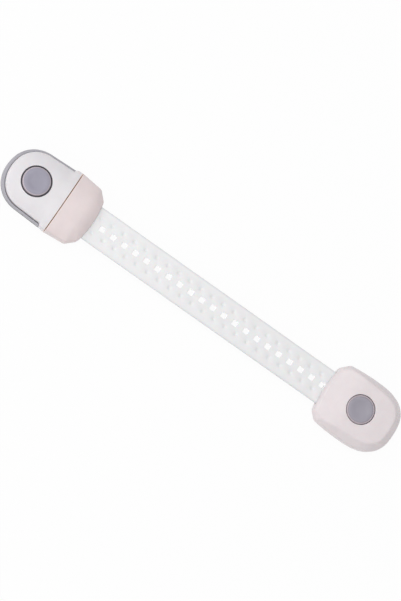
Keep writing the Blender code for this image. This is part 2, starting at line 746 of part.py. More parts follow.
def strap_cap(head):
    """The cap that clamps the strap: from the seam to the bowed front, with the strap's notch."""
    cap = shell(head_form('strap_cap', 0, head))
    keep(cap, head_half_space('cap_side', SEAM_X + SEAM_GAP / 2, CAP_FRONT_X * 2, head))
    notch_top = PIP_TOP + GAP
    half = CHANNEL_HALF_WIDTH
    start = SEAM_X + CAP_SIDE_LENGTH - CAP_CORNER
    cut(cap, box('strap_notch', (start, CAP_FRONT_X * 2), (-half, half), (0, notch_top), head))
    inside = head_form('cap_inside', COVER_WALL / 2, head, closed=True)
    for i in (0, 1):
        x = FIRST_HOLE_X + HOLE_PITCH * (i + 0.5)
        rib_half = PIP_OFFSET + PIP_RADIUS
        reach = (notch_top, HEAD_EDGE_Z * 2)
        rib = box(f'clamp_rib_{i}', (x - COVER_WALL / 2, x + COVER_WALL / 2), (-rib_half, rib_half), reach, head)
        keep(rib, inside)
        join(cap, rib)
    return finish(cap, (0.86, 0.80, 0.79), 0.35)


def catch_clip(head):
    """The spring wire whose two legs close round the stud's neck."""
    half = CLIP_HALF_WIDTH
    points = []
    for i in range(3):
        points.append((CLIP_REACH + CLIP_FLARE * (1 - i / 3), half + CLIP_FLARE * (1 - i / 3) ** 2, CLIP_Z))
    points.append((CLIP_REACH, half, CLIP_Z))
    for i in range(9):
        angle = math.pi / 2 + math.pi * i / 8
        points.append((-CLIP_BEND_X + half * math.cos(angle), half * math.sin(angle), CLIP_Z))
    points += [(x, -y, z) for x, y, z in reversed(points[:4])]
    clip = wire('catch_clip', points, CLIP_WIRE, head)
    return finish(clip, (0.66, 0.66, 0.68), 0.25, 1.0)


def clip_keeper(head):
    """The thin plate that holds the clip down and seats the button's spring."""
    outlines = [circle(KEEPER_RADIUS), circle(BORE_RADIUS, steps=24)]
    for side in (-1, 1):
        outlines.append(circle(KEEPER_SCREW + GAP, 0, SCREW_REACH * side, 12))
    keeper = plate('clip_keeper', outlines, KEEPER_Z, KEEPER_TOP, head)
    for side in (-1, 1):
        half = STUD_HEAD_RADIUS + GAP * 2
        cut(keeper, wedge_window(f'keeper_window_{side}', side, half, KEEPER_Z - GAP, KEEPER_TOP + GAP, head))
    return finish(keeper, (0.80, 0.80, 0.82), 0.5)


def keeper_screws(head):
    """The two small screws that hold the keeper to the chassis's pillars."""
    low = KEEPER_TOP + GAP
    high = low + KEEPER_SCREW_HEAD
    shank_end = CHASSIS_TOP + GAP
    head_radius = KEEPER_SCREW * 2.2
    profile = [(0, high), (head_radius * 0.7, high), (head_radius, low + KEEPER_SCREW_HEAD * 0.4)]
    profile += [(head_radius, low), (KEEPER_SCREW, low), (KEEPER_SCREW, shank_end), (0, shank_end)]
    for i, side in enumerate((-1, 1)):
        y = SCREW_REACH * side
        screw = turned(f'keeper_screw_{i + 1}', profile, 0, y, head, SMALL_STEPS)
        recess_low = high - KEEPER_SCREW_HEAD * 0.5
        cut(screw, *cross_recess(f'keeper_recess_{i}', head_radius, recess_low, high + GAP, 0, y, head))
        finish(screw, (0.62, 0.62, 0.64), 0.3, 1.0)


def release_works(head, button_frame):
    """The latch button, the plunger with its two wedges, and the spring that lifts them."""
    top = head_crown_z(0, 0) + BUTTON_A_PROUD
    ring_radius = BUTTON_A_HOLE + RING_LIP
    tongue_half = NOSE_RADIUS - TONGUE_INSET - COVER_EDGE_RADIUS
    ring_top = head_crown_z(0, ring_radius / tongue_half) - COVER_WALL - GAP
    ring_low = ring_top - PLUNGER_RING
    plunger = ring('release_plunger', ring_radius, ring_low, ring_top, button_frame)
    stroke_low = CLIP_Z - CLIP_WIRE / 2 + GAP
    spread = STUD_HEAD_RADIUS + GAP / 3
    narrow = CLIP_HALF_WIDTH - CLIP_WIRE / 2 - GAP * 1.5
    wide_z = stroke_low + TRAVEL_A
    for side in (-1, 1):
        profile = [(-narrow, stroke_low), (narrow, stroke_low), (spread, wide_z)]
        profile += [(spread, ring_low + GAP), (-spread, ring_low + GAP), (-spread, wide_z)]
        wedge = wedge_prism(f'wedge_{side}', profile, side, button_frame)
        join(plunger, wedge)
    finish(plunger, (0.36, 0.35, 0.40), 0.45)
    knob, roof = button('release_button', BUTTON_A_RADIUS, top, 0, ring_low, ring_top + GAP, button_frame)
    finish(knob, (0.43, 0.42, 0.48), 0.4)
    spring = button_spring('release_spring', KEEPER_TOP, roof, head)
    finish(spring, (0.66, 0.66, 0.68), 0.25, 1.0)


def wedge_prism(name, profile, side, parent):
    """A wedge: its (y, z) profile is extruded along X by the wedge's thickness."""
    middle = (RING_BORE + WEDGE_THICKNESS / 2) * side
    bm = bmesh.new()
    near = [bm.verts.new((middle - WEDGE_THICKNESS / 2, y, z)) for y, z in profile]
    face = bm.faces.new(near)
    extruded = bmesh.ops.extrude_face_region(bm, geom=[face])
    moved = [item for item in extruded['geom'] if isinstance(item, bmesh.types.BMVert)]
    bmesh.ops.translate(bm, vec=(WEDGE_THICKNESS, 0, 0), verts=moved)
    bmesh.ops.recalc_face_normals(bm, faces=bm.faces)
    return from_bmesh(name, bm, parent)


# Strap

def strap(head):
    """The flexible strap: a row of square holes, with a raised pip on each side of every hole."""
    half = STRAP_WIDTH / 2
    band = box('strap', (STRAP_START_X, STRAP_END_X), (-half, half), (STRAP_Z, STRAP_TOP), head)
    holes = bmesh.new()
    pips = bmesh.new()
    sunk = STRAP_THICKNESS / 3
    for i in range(HOLE_COUNT):
        x = FIRST_HOLE_X + HOLE_PITCH * i
        hole = bmesh.ops.create_cube(holes, size=HOLE_SIZE)
        bmesh.ops.translate(holes, vec=(x, 0, (STRAP_Z + STRAP_TOP) / 2), verts=hole['verts'])
        for side in (-1, 1):
            pip = bmesh.ops.create_cone(pips, cap_ends=True, segments=10, radius1=PIP_RADIUS + sunk,
                                        radius2=PIP_RADIUS - PIP_HEIGHT, depth=PIP_HEIGHT + sunk)
            middle = STRAP_TOP + (PIP_HEIGHT - sunk) / 2
            bmesh.ops.translate(pips, vec=(x, PIP_OFFSET * side, middle), verts=pip['verts'])
    cut(band, from_bmesh('strap_holes', holes, head))
    join(band, from_bmesh('strap_pips', pips, head))
    return finish(band, (0.86, 0.87, 0.89), 0.3)


# Adjuster head

def screw_places():
    return [(SCREW_X * end, SCREW_Y * side) for end in (-1, 1) for side in (-1, 1)]


def adhesive_pad_b(adjuster):
    outline = inset(adjuster_outline(), PAD_INSET)
    pad = plate('adhesive_pad_b', [outline], 0, PAD_THICKNESS, adjuster)
    return finish(pad, (0.62, 0.63, 0.66), 0.9)


def adjuster_base(adjuster):
    """The floor with the strap's rails and fences, the leaf's window and peg, and the screws' bosses."""
    base = plate('adjuster_base', [inset(adjuster_outline(), WALL_INSET)], BASE_Z, ADJUSTER_FLOOR_TOP, adjuster)
    low = BASE_Z + GAP
    rail_outside = CHANNEL_HALF_WIDTH - GAP * 2
    ear = LEAF_EAR + GAP * 2
    front = -ADJUSTER_FRONT + FRONT_NOSE + WALL_INSET * 2
    rear = GUIDE_HALF_LENGTH + LEAF_EAR
    for side in (-1, 1):
        for start, end in ((front, -ear), (ear, rear)):
            ys = sorted((side * rail_outside, side * (rail_outside - RAIL_WIDTH)))
            join(base, box(f'rail_{side}_{start:.3f}', (start, end), ys, (low, LEAF_TOP), adjuster))
        for start, end in ((-GUIDE_HALF_LENGTH, -ear), (ear, GUIDE_HALF_LENGTH)):
            ys = sorted((side * CHANNEL_HALF_WIDTH, side * FENCE_OUTSIDE))
            join(base, box(f'fence_{side}_{start:.3f}', (start, end), ys, (low, GUIDE_Z - GAP), adjuster))
    leaf_half = LEAF_HALF_WIDTH + GAP
    tooth_end = -TOOTH_DISTANCE - HOLE_SIZE / 2 - GAP * 2
    clamp_start = LEAF_CLAMP_X - LEAF_PEG * 3
    window = box('leaf_window', (tooth_end, clamp_start), (-leaf_half, leaf_half), (0, LEAF_TOP), adjuster)
    ear_reach = LEG_OUTSIDE + GAP * 2
    ear_window = box('ear_window', (-ear, ear), (-ear_reach, ear_reach), (0, LEAF_TOP), adjuster)
    cut(base, window, ear_window)
    seat_end = LEAF_CLAMP_X + LEAF_PEG * 3
    seat = box('leaf_seat', (clamp_start, seat_end), (-leaf_half, leaf_half), (low, LEAF_Z - GAP), adjuster)
    peg = cylinder('leaf_peg', LEAF_PEG, low, LEAF_TOP, LEAF_CLAMP_X, 0, adjuster)
    join(base, seat, peg)
    for i, (x, y) in enumerate(screw_places()):
        boss_radius = HOUSING_SCREW_HEAD + GAP + SINK_WALL
        join(base, cylinder(f'base_boss_{i}', boss_radius, low, LEAF_TOP, x, y, adjuster))
        sink = BASE_Z + HOUSING_SCREW_HEAD_HEIGHT + GAP * 2
        cut(base, cylinder(f'head_sink_{i}', HOUSING_SCREW_HEAD + GAP, 0, sink, x, y, adjuster))
        cut(base, cylinder(f'shank_hole_{i}', HOUSING_SCREW + GAP, 0, GUIDE_Z, x, y, adjuster))
    return finish(base, (0.80, 0.79, 0.80), 0.5)


def adjuster_cover(adjuster):
    """The one-piece housing: bevelled top that falls towards the strap, strap slots and screw bosses."""
    cover = shell(adjuster_form('adjuster_cover', 0, adjuster), edge_width=0.0005)
    cut(cover, cylinder('button_b_hole', BUTTON_B_HOLE, PIP_TOP, ADJUSTER_TOP * 2, 0, 0, adjuster, ROUND_STEPS))
    half = CHANNEL_HALF_WIDTH
    reach = ADJUSTER_FRONT * 2
    slot = box('strap_slot', (-reach, reach), (-half, half), (STRAP_Z - GAP, GUIDE_Z), adjuster)
    cut(cover, slot)
    inside = adjuster_form('adjuster_inside', COVER_WALL / 2, adjuster, closed=True)
    for i, (x, y) in enumerate(screw_places()):
        boss = cylinder(f'cover_boss_{i}', SCREW_BOSS, LEAF_TOP + GAP, ADJUSTER_TOP * 2, x, y, adjuster)
        keep(boss, inside)
        join(cover, boss)
        end = BASE_Z + HOUSING_SCREW_HEAD_HEIGHT + HOUSING_SCREW_LENGTH + GAP * 2
        cut(cover, cylinder(f'screw_pilot_{i}', HOUSING_SCREW + GAP, 0, end, x, y, adjuster))
    return finish(cover, (0.88, 0.83, 0.85), 0.35)


def strap_guide(adjuster):
    """The bridge over the strap that keeps it down on the rails and seats the button's spring."""
    long = GUIDE_HALF_LENGTH
    wide = FENCE_OUTSIDE
    narrow = CHANNEL_HALF_WIDTH
    leg = LEAF_EAR + GAP * 2
    quarter = [(long, 0), (long, wide), (leg, wide), (leg, narrow), (-leg, narrow), (-leg, wide), (-long, wide)]
    outline = whole(quarter + [(-long, 0)])
    guide = plate('strap_guide', [outline], GUIDE_Z, GUIDE_TOP, adjuster)
    boss_radius = SPRING_RADIUS - SPRING_TAPER - SPRING_WIRE / 2 - GAP
    boss = cylinder('spring_boss', boss_radius, GUIDE_TOP - GAP, GUIDE_TOP + SPRING_WIRE * 2, 0, 0, adjuster, 24)
    join(guide, boss)
    return finish(guide, (0.80, 0.80, 0.82), 0.5)


def lock_leaf(adjuster):
    """The springy leaf under the strap: its tooth stands in a strap hole, its ears are pressed by the yoke."""
    half = LEAF_HALF_WIDTH
    tip = -TOOTH_DISTANCE - HOLE_SIZE / 2
    root_x = LEAF_CLAMP_X + LEAF_PEG * 3
    ear_y = LEG_OUTSIDE
    quarter = [(root_x, 0), (root_x, half - GAP), (LEAF_EAR, half), (LEAF_EAR, ear_y), (-LEAF_EAR, ear_y)]
    quarter += [(-LEAF_EAR, half), (tip + half / 2, half * LEAF_TIP), (tip, half * LEAF_TIP / 2), (tip, 0)]
    outlines = [whole(quarter), circle(LEAF_PEG + GAP, LEAF_CLAMP_X, 0, 16)]
    leaf = plate('lock_leaf', outlines, LEAF_Z, LEAF_TOP, adjuster)
    bm = bmesh.new()
    side = (HOLE_SIZE / 2 - GAP) * math.sqrt(2)
    root_depth = LEAF_THICKNESS / 2
    bmesh.ops.create_cone(bm, cap_ends=True, segments=4, radius1=side, radius2=side * 0.75,
                          depth=TOOTH_HEIGHT + root_depth)
    bmesh.ops.rotate(bm, verts=bm.verts, matrix=Matrix.Rotation(math.radians(45), 3, 'Z'))
    middle = LEAF_TOP + (TOOTH_HEIGHT - root_depth) / 2
    bmesh.ops.translate(bm, vec=(-TOOTH_DISTANCE, 0, middle), verts=bm.verts)
    join(leaf, from_bmesh('leaf_tooth', bm, adjuster))
    return finish(leaf, (0.90, 0.90, 0.90), 0.4)


def adjust_works(adjuster, button_frame):
    """The adjuster's button, the yoke whose legs press the leaf's ears, and the spring that lifts them."""
    top = ADJUSTER_TOP - BUTTON_B_DROP
    ring_top = ADJUSTER_TOP - COVER_WALL - GAP
    ring_low = ring_top - YOKE_RING
    ring_radius = BUTTON_B_HOLE + RING_LIP
    meet = math.degrees(math.acos(LEAF_EAR / ring_radius))
    half = arc(ring_radius, 0, meet, 8) + [(LEAF_EAR, LEG_OUTSIDE), (-LEAF_EAR, LEG_OUTSIDE)]
    half += arc(ring_radius, 180 - meet, 180, 8)
    outlines = [whole(half), circle(RING_BORE)]
    yoke = plate('press_yoke', outlines, ring_low, ring_top, button_frame)
    leg_x = LEAF_EAR - GAP / 3
    for side in (-1, 1):
        leg_y = sorted((side * LEG_INSIDE, side * (LEG_OUTSIDE - GAP / 3)))
        leg_z = (LEAF_TOP + GAP, ring_top - YOKE_RING / 2)
        join(yoke, box(f'yoke_leg_{side}', (-leg_x, leg_x), leg_y, leg_z, button_frame))
    finish(yoke, (0.36, 0.35, 0.40), 0.45)
    name = 'adjuster_button'
    knob, roof = button(name, BUTTON_B_RADIUS, top, BUTTON_B_DISH, ring_low, ring_top + GAP, button_frame)
    finish(knob, (0.42, 0.41, 0.46), 0.4)
    spring = button_spring('adjuster_spring', GUIDE_TOP, roof, adjuster)
    finish(spring, (0.66, 0.66, 0.68), 0.25, 1.0)


def housing_screws(adjuster):
    """The four screws, driven from below, that hold the adjuster cover to its base."""
    low = BASE_Z + GAP / 3
    high = low + HOUSING_SCREW_HEAD_HEIGHT
    tip = high + HOUSING_SCREW_LENGTH
    profile = [(0, tip), (HOUSING_SCREW * 0.5, tip), (HOUSING_SCREW, tip - HOUSING_SCREW), (HOUSING_SCREW, high)]
    profile += [(HOUSING_SCREW_HEAD, high), (HOUSING_SCREW_HEAD, low), (0, low)]
    recess_high = low + HOUSING_SCREW_HEAD_HEIGHT / 2
    for i, (x, y) in enumerate(screw_places()):
        screw = turned(f'housing_screw_{i + 1}', profile, x, y, adjuster, SMALL_STEPS)
        cut(screw, *cross_recess(f'housing_recess_{i}', HOUSING_SCREW_HEAD, 0, recess_high, x, y, adjuster))
        finish(screw, (0.62, 0.62, 0.64), 0.3, 1.0)


def build():
    global parts, cutters
    for obj in list(bpy.data.objects):
        bpy.data.objects.remove(obj)
    parts = new_collection('child_safety_lock')
    cutters = new_collection('cutters')
    root = frame('base_a', 0, 0, 0)
    head = frame('latch_head', 0, 0, 0, root)
    button_a = frame('button_a', 0, 0, 0, head)
    adjuster = frame('adjuster', BUTTON_B_X, 0, 0, head)
    button_b = frame('button_b', 0, 0, 0, adjuster)
    adhesive_pad_a(root)
    base_tray(root)
    latch_chassis(head)
    latch_cover(head)
    strap_cap(head)
    catch_clip(head)
    clip_keeper(head)
    keeper_screws(head)
    release_works(head, button_a)
    strap(head)
    adhesive_pad_b(adjuster)
    adjuster_base(adjuster)
    adjuster_cover(adjuster)
    strap_guide(adjuster)
    lock_leaf(adjuster)
    adjust_works(adjuster, button_b)
    housing_screws(adjuster)


build()
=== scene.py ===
import math

import bmesh
import bpy
from mathutils import Matrix, Vector


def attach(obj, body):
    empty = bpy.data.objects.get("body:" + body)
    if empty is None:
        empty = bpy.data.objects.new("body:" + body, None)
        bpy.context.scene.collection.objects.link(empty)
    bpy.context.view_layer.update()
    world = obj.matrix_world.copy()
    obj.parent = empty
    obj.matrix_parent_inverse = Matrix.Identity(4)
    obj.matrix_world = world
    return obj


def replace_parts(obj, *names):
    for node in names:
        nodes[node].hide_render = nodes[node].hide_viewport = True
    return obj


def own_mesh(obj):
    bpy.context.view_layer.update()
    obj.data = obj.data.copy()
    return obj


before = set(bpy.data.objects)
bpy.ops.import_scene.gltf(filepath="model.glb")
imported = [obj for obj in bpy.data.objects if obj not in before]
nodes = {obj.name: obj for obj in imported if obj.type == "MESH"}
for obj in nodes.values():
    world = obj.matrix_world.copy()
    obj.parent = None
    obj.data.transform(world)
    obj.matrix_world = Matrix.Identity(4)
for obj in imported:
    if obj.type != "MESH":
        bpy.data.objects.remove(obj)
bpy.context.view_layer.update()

# Every size is in metres. +X runs along the strap, +Z is up, and the origin is on the latch button's axis, as
# in the solids. The skins keep the solids' sizes, except where a note says otherwise, and soften more edges.
GAP = 0.0003                 # between pieces that touch or slide
SINK = 0.0001                # how far a shell reaches into one that it stands on
BASE_Z = 0.0012              # underside of both bases, on their pads
SMOOTH_ANGLE = math.radians(38)
LONGEST_EDGE = 0.0012        # longest stretch of a housing's outline between two points
SOFT_FOOT = 0.00015          # softened lower edge of the housings

# Latch head
TRAY_TOP = 0.0024
CHASSIS_Z = 0.0027
NOSE_RADIUS = 0.0145
NOSE_EXPONENT = 2.12         # squareness of the rounded nose, where 2 is a circle
RIM_WALL = 0.0008
RIM_NOSE = 0.00073           # how much thicker the rim is at the middle of the nose; 0.0003 in the solid
NOSE_GAP = 0.00015           # how much of that the tongue takes back; not in the solid
RIM_TOP = 0.0049
RIM_ROUND_OUT, RIM_ROUND_IN = 0.00025, 0.00015     # rounding of the rim's two upper edges
RIM_END_X = 0.0120
RIM_FLARE = 0.0006
SHOULDER_STEP = 0.0002
TONGUE_INSET = RIM_WALL + GAP
SEAM_X = 0.0149
SEAM_GAP = 0.0003            # 0.00035 in the solid
SEAM_MIDDLE = SEAM_X + 0.0001    # SEAM_X in the solid
HEAD_HALF_WIDTH = 0.0154
CAP_SIDE_LENGTH = 0.0108
CAP_SIDE_TAPER = 0.0010
CAP_CORNER = 0.0040
CAP_CORNER_RADIUS = 0.0024
CAP_NOSE = 0.0012
CAP_FRONT_X = SEAM_X + CAP_SIDE_LENGTH + CAP_CORNER + CAP_NOSE
RIDGE_END_X = SEAM_X + 0.0085    # where the roof's ridge ends
HEAD_EDGE_Z = 0.0076
HEAD_CROWN = 0.0020          # rise from the edge to the middle
CROWN_POWER = 2.6            # how late the crown falls away towards the edge
CAP_DROP = 0.0012            # how far the cap's roof falls towards the strap
CAP_DROP_POWER = 1.5
COVER_WALL = 0.0012
WALL_INSET = COVER_WALL + GAP
EDGE_RADIUS = 0.0015
EDGE_STEPS = 8
EDGE_TURN = math.radians(70)     # where the rounded edge meets the crown
EDGE_IN = EDGE_RADIUS * (1 - math.cos(EDGE_TURN))
EDGE_DOWN = EDGE_RADIUS * (1 - math.sin(EDGE_TURN))
STUD_NECK, STUD_HEAD = 0.0018, 0.0030
STUD_HEAD_Z, STUD_TOP, STUD_CHAMFER = 0.0048, 0.0060, 0.0006
STUD_FOOT = 0.0004           # hollow rounding where the stud stands on the floor; not in the solid

# Strap
STRAP_Z = 0.0036
STRAP_TOP = 0.0048
STRAP_HALF = 0.0084
STRAP_START_X = 0.01495
STRAP_END_X = 0.17715
FIRST_HOLE_X = 0.01780       # 0.01795 in the solid
HOLE_PITCH = 0.006
HOLE_SIZE = 0.0024
HOLE_COUNT = 27
HOLE_CORNER = 0.0003
# A hole's softened mouth, as (growth to each side, height over the strap's top)
HOLE_MOUTH = ((0, -0.00015), (0.00004, -0.00005), (0.00014, 0), (0.0003, 0.0003))
DOME_OFFSET = 0.0039         # from the centre line to a dome's centre; the solid has round pips at 0.0048
DOME_RADIUS = 0.0030
DOME_HEIGHT = 0.00012
DIMPLE_RADIUS = 0.0012
DIMPLE_DEPTH = 0.0003
STRAP_SOFT = 0.0003          # rounding along the strap's edges
STRAP_CORNER = 0.0010        # rounding of its corners, seen from above
STATION_STEP = 0.0004        # between two cross-sections
TOP_STEPS = 44               # across a cross-section's top
CHANNEL_HALF = STRAP_HALF + GAP
NOTCH_TOP = STRAP_TOP + 0.0004   # of the strap's way through both covers; 0.0002 higher in the solid

# Buttons
BUTTON_A_RADIUS = 0.0063
BUTTON_A_HOLE = 0.00705      # 0.0070 in the solid
BUTTON_B_RADIUS = 0.0065     # 0.0064 in the solid
BUTTON_B_HOLE = 0.0068       # 0.0069 in the solid
BUTTON_B_X = 0.17555
BUTTON_A_TRAVEL, BUTTON_B_TRAVEL = 0.0012, 0.0010
RING_A, RING_B = 0.0006, 0.0007     # height of the ring under each button
BUTTON_ROOF = 0.0015         # thickness over the hollow boss; 0.0011 for button A in the solid
BOSS_RADIUS, BOSS_BORE, BOSS_SOFT = 0.0056, 0.0048, 0.00015
HOLE_LIP = 0.00022           # softened edge of a button's hole
HOLE_A_TOP = HEAD_EDGE_Z + HEAD_CROWN - 0.0002   # the roof's height round button A
HOLE_A_LOW, HOLE_B_LOW = 0.0036, 0.0054          # under both roofs

# Adjuster head, measured from its button's axis
ADJUSTER_FRONT = 0.0183
ADJUSTER_REAR = 0.0195
ADJUSTER_HALF_WIDTH = 0.01565
ADJUSTER_EXPONENT = 2.7      # squareness of the rounded rear end
ADJUSTER_TOP = 0.0100
ADJUSTER_DROP = 0.0032       # how far the top falls towards the strap
DROP_START = 0.0045          # the flat top's reach in front of the button
DROP_POWER = 1.6
FRONT_SLOPE = 0.0009         # how far the sides close in towards the front
FRONT_CORNER = 0.0033        # how far the front corner is cut back, each way
FRONT_CORNER_RADIUS = 0.0028
FRONT_NOSE = 0.0014
SIDE_BEVEL, FRONT_BEVEL, REAR_BEVEL, BEVEL_HEIGHT = 0.0031, 0.0012, 0.0035, 0.0040
BEVEL_FOOT_REACH = 0.0008    # rounding where the wall meets the bevel
BEVEL_HEAD_REACH = 0.0006    # rounding where the bevel meets the top


# Small tools

def smoothed(mesh):
    mesh.shade_smooth()
    mesh.set_sharp_from_angle(angle=SMOOTH_ANGLE)
    return mesh


def linked(name, data):
    obj = bpy.data.objects.new(name, data)
    bpy.context.scene.collection.objects.link(obj)
    return obj


def mesh_object(name, bm):
    mesh = bpy.data.meshes.new(name)
    bm.to_mesh(mesh)
    bm.free()
    return linked(name, smoothed(mesh))


def baked(obj):
    """The object's mesh with its modifiers worked in."""
    bpy.context.view_layer.update()
    depsgraph = bpy.context.evaluated_depsgraph_get()
    mesh = bpy.data.meshes.new_from_object(obj.evaluated_get(depsgraph))
    obj.modifiers.clear()
    obj.data = smoothed(mesh)
    return obj


def boolean(obj, other, operation):
    mod = obj.modifiers.new(other.name, 'BOOLEAN')
    mod.operation = operation
    mod.solver = 'EXACT'
    mod.object = other
    return obj


def box_object(name, xs, ys, zs):
    bm = bmesh.new()
    bmesh.ops.create_cube(bm, size=1)
    bmesh.ops.scale(bm, vec=[b - a for a, b in (xs, ys, zs)], verts=bm.verts)
    bmesh.ops.translate(bm, vec=[(a + b) / 2 for a, b in (xs, ys, zs)], verts=bm.verts)
    return mesh_object(name, bm)


def lathe(name, profile, x=0.0, steps=96):
    """A turned form from (radius, height) points that run down its side, from the axis to the axis."""
    bm = bmesh.new()
    loops = []
    for radius, height in profile:
        if radius < 1e-7:
            loops.append([bm.verts.new((x, 0, height))])
            continue
        ring = []
        for i in range(steps):
            angle = math.tau * i / steps
            ring.append(bm.verts.new((x + radius * math.cos(angle), radius * math.sin(angle), height)))
        loops.append(ring)
    for upper, lower in zip(loops, loops[1:]):
        for i in range(steps):
            j = (i + 1) % steps
            if len(upper) == 1:
                bm.faces.new((upper[0], lower[i], lower[j]))
            elif len(lower) == 1:
                bm.faces.new((upper[j], upper[i], lower[0]))
            else:
                bm.faces.new((upper[j], upper[i], lower[i], lower[j]))
    bmesh.ops.recalc_face_normals(bm, faces=bm.faces)
    return mesh_object(name, bm)


def prism(name, outline, low, high):
    """A flat outline, anticlockwise, between two heights."""
    bm = bmesh.new()
    loops = [[bm.verts.new((x, y, z)) for x, y in outline] for z in (low, high)]
    bm.faces.new(reversed(loops[0]))
    bm.faces.new(loops[1])
    for i in range(len(outline)):
        j = (i + 1) % len(outline)
        bm.faces.new((loops[0][i], loops[0][j], loops[1][j], loops[1][i]))
    return mesh_object(name, bm)


def drop(*objs):
    for obj in objs:
        bpy.data.objects.remove(obj)


def merged(name, *objs):
    """One object from several, which stay separate shells."""
    bm = bmesh.new()
    for obj in objs:
        bm.from_mesh(obj.data)
    drop(*objs)
    return mesh_object(name, bm)


def swept(name, sections):
    """A skin over a row of closed sections, with its ends filled."""
    bm = bmesh.new()
    loops = [[bm.verts.new(point) for point in section] for section in sections]
    count = len(loops[0])
    for first, second in zip(loops, loops[1:]):
        for i in range(count):
            j = (i + 1) % count
            bm.faces.new((first[i], first[j], second[j], second[i]))
    bm.faces.new(reversed(loops[0]))
    bm.faces.new(loops[-1])
    bmesh.ops.recalc_face_normals(bm, faces=bm.faces)
    return mesh_object(name, bm)


def rounded_corner(before, corner, after, reach, steps=4):
    """Points that round one corner of a profile, on a parabola."""
    c = Vector(corner)
    a = c + (Vector(before) - c).normalized() * reach
    b = c + (Vector(after) - c).normalized() * reach
    points = []
    for i in range(steps + 1):
        t = i / steps
        points.append(tuple(a * (1 - t) ** 2 + c * 2 * t * (1 - t) + b * t ** 2))
    return points


# Outlines, as the solids have them but finer

def fillet(before, corner, after, radius, steps=12):
    corner = Vector(corner)
    to_before = (Vector(before) - corner).normalized()
    to_after = (Vector(after) - corner).normalized()
    half = to_before.angle(to_after) / 2
    back = radius / math.tan(half)
    centre = corner + (to_before + to_after).normalized() * (radius / math.sin(half))
    start = corner + to_before * back - centre
    turn = start.angle_signed(corner + to_after * back - centre)
    points = []
    for i in range(steps + 1):
        angle = -turn * i / steps
        cos, sin = math.cos(angle), math.sin(angle)
        points.append((centre.x + start.x * cos - start.y * sin, centre.y + start.x * sin + start.y * cos))
    return points


def bowed(front_x, bow, half_width, steps=12):
    ys = [half_width * i / steps for i in range(steps)]
    return [(front_x - bow * (y / half_width) ** 2, y) for y in ys]


def arc(radius, start, end, steps):
    angles = [math.radians(start + (end - start) * i / steps) for i in range(steps + 1)]
    return [(radius * math.cos(angle), radius * math.sin(angle)) for angle in angles]


def whole(half):
    return half + [(x, -y) for x, y in reversed(half[1:-1])]


def inset(outline, distance):
    moved = []
    count = len(outline)
    for i in range(count):
        before = Vector(outline[i - 1])
        here = Vector(outline[i])
        after = Vector(outline[(i + 1) % count])
        first = (here - before).normalized()
        second = (after - here).normalized()
        normals = Vector((-first.y, first.x)) + Vector((-second.y, second.x))
        moved.append(tuple(here + normals * (distance / (1 + first.dot(second)))))
    return moved


def refined(outline, longest):
    """The outline with its long straight stretches divided."""
    points = []
    count = len(outline)
    for i in range(count):
        a = Vector(outline[i])
        b = Vector(outline[(i + 1) % count])
        parts = max(1, math.ceil((b - a).length / longest))
        points += [tuple(a.lerp(b, k / parts)) for k in range(parts)]
    return points


def side_y(x, distance=0.0):
    return NOSE_RADIUS - distance + RIM_FLARE * max(x, 0) / SEAM_X


def nose_arc(distance, back, steps=40):
    """The rounded nose, inset by a distance and moved back a little at its middle."""
    radius = NOSE_RADIUS - distance
    power = 2 / NOSE_EXPONENT
    points = [(0, radius)]
    for x, y in arc(1, 90, 180, steps)[1:]:
        points.append((-(radius - back) * abs(x) ** power, radius * abs(y) ** power))
    return points


def head_outline():
    """Tongue, shoulders, sides and bowed front. Rounded shoulders would fold the housing's edge."""
    corner_x = SEAM_X + CAP_SIDE_LENGTH
    corner_y = HEAD_HALF_WIDTH - CAP_SIDE_TAPER
    front = (corner_x + CAP_CORNER, corner_y - CAP_CORNER)
    shoulder_x = RIM_END_X + GAP
    low_x = shoulder_x - TONGUE_INSET
    half = bowed(CAP_FRONT_X, CAP_NOSE, front[1])
    half += fillet(half[-1], front, (corner_x, corner_y), CAP_CORNER_RADIUS)
    half += fillet(front, (corner_x, corner_y), (SEAM_X, HEAD_HALF_WIDTH), CAP_CORNER_RADIUS)
    half += [(SEAM_X, HEAD_HALF_WIDTH), (shoulder_x, side_y(shoulder_x) + SHOULDER_STEP)]
    half += [(low_x, side_y(low_x, TONGUE_INSET)), (shoulder_x / 2, side_y(shoulder_x / 2, TONGUE_INSET))]
    return whole(half + nose_arc(TONGUE_INSET, RIM_NOSE - NOSE_GAP))


def floor_outline():
    """The tray's floor: as wide as the rim under the tongue, and narrower inside the cap's walls."""
    tail = [(x, y) for x, y in inset(head_outline(), WALL_INSET) if x > RIM_END_X and y > -GAP / 10]
    end_x = RIM_END_X + GAP
    return whole(tail + [(end_x, tail[-1][1]), (end_x, side_y(end_x))] + nose_arc(0, 0))


def adjuster_outline():
    """Rounded-square rear, sides that close in a little, cut corners, bowed front."""
    corner_y = ADJUSTER_HALF_WIDTH - FRONT_SLOPE
    corner_x = -ADJUSTER_FRONT + FRONT_NOSE + FRONT_CORNER
    front = (-ADJUSTER_FRONT + FRONT_NOSE, corner_y - FRONT_CORNER)
    half = []
    steps = 48
    for i in range(steps + 1):
        angle = math.pi / 2 * i / steps
        x = ADJUSTER_REAR * math.cos(angle) ** (2 / ADJUSTER_EXPONENT)
        y = ADJUSTER_HALF_WIDTH * math.sin(angle) ** (2 / ADJUSTER_EXPONENT)
        half.append((x, y))
    for share in (0.25, 0.5, 0.75):
        half.append((corner_x * share, ADJUSTER_HALF_WIDTH - FRONT_SLOPE * share ** 2))
    half += fillet(half[-1], (corner_x, corner_y), front, FRONT_CORNER_RADIUS)
    bow = [(-x, y) for x, y in bowed(ADJUSTER_FRONT, FRONT_NOSE, front[1])]
    half += fillet((corner_x, corner_y), front, bow[-1], FRONT_CORNER_RADIUS)
    half += reversed(bow)
    return whole(half)


# Lofted housings

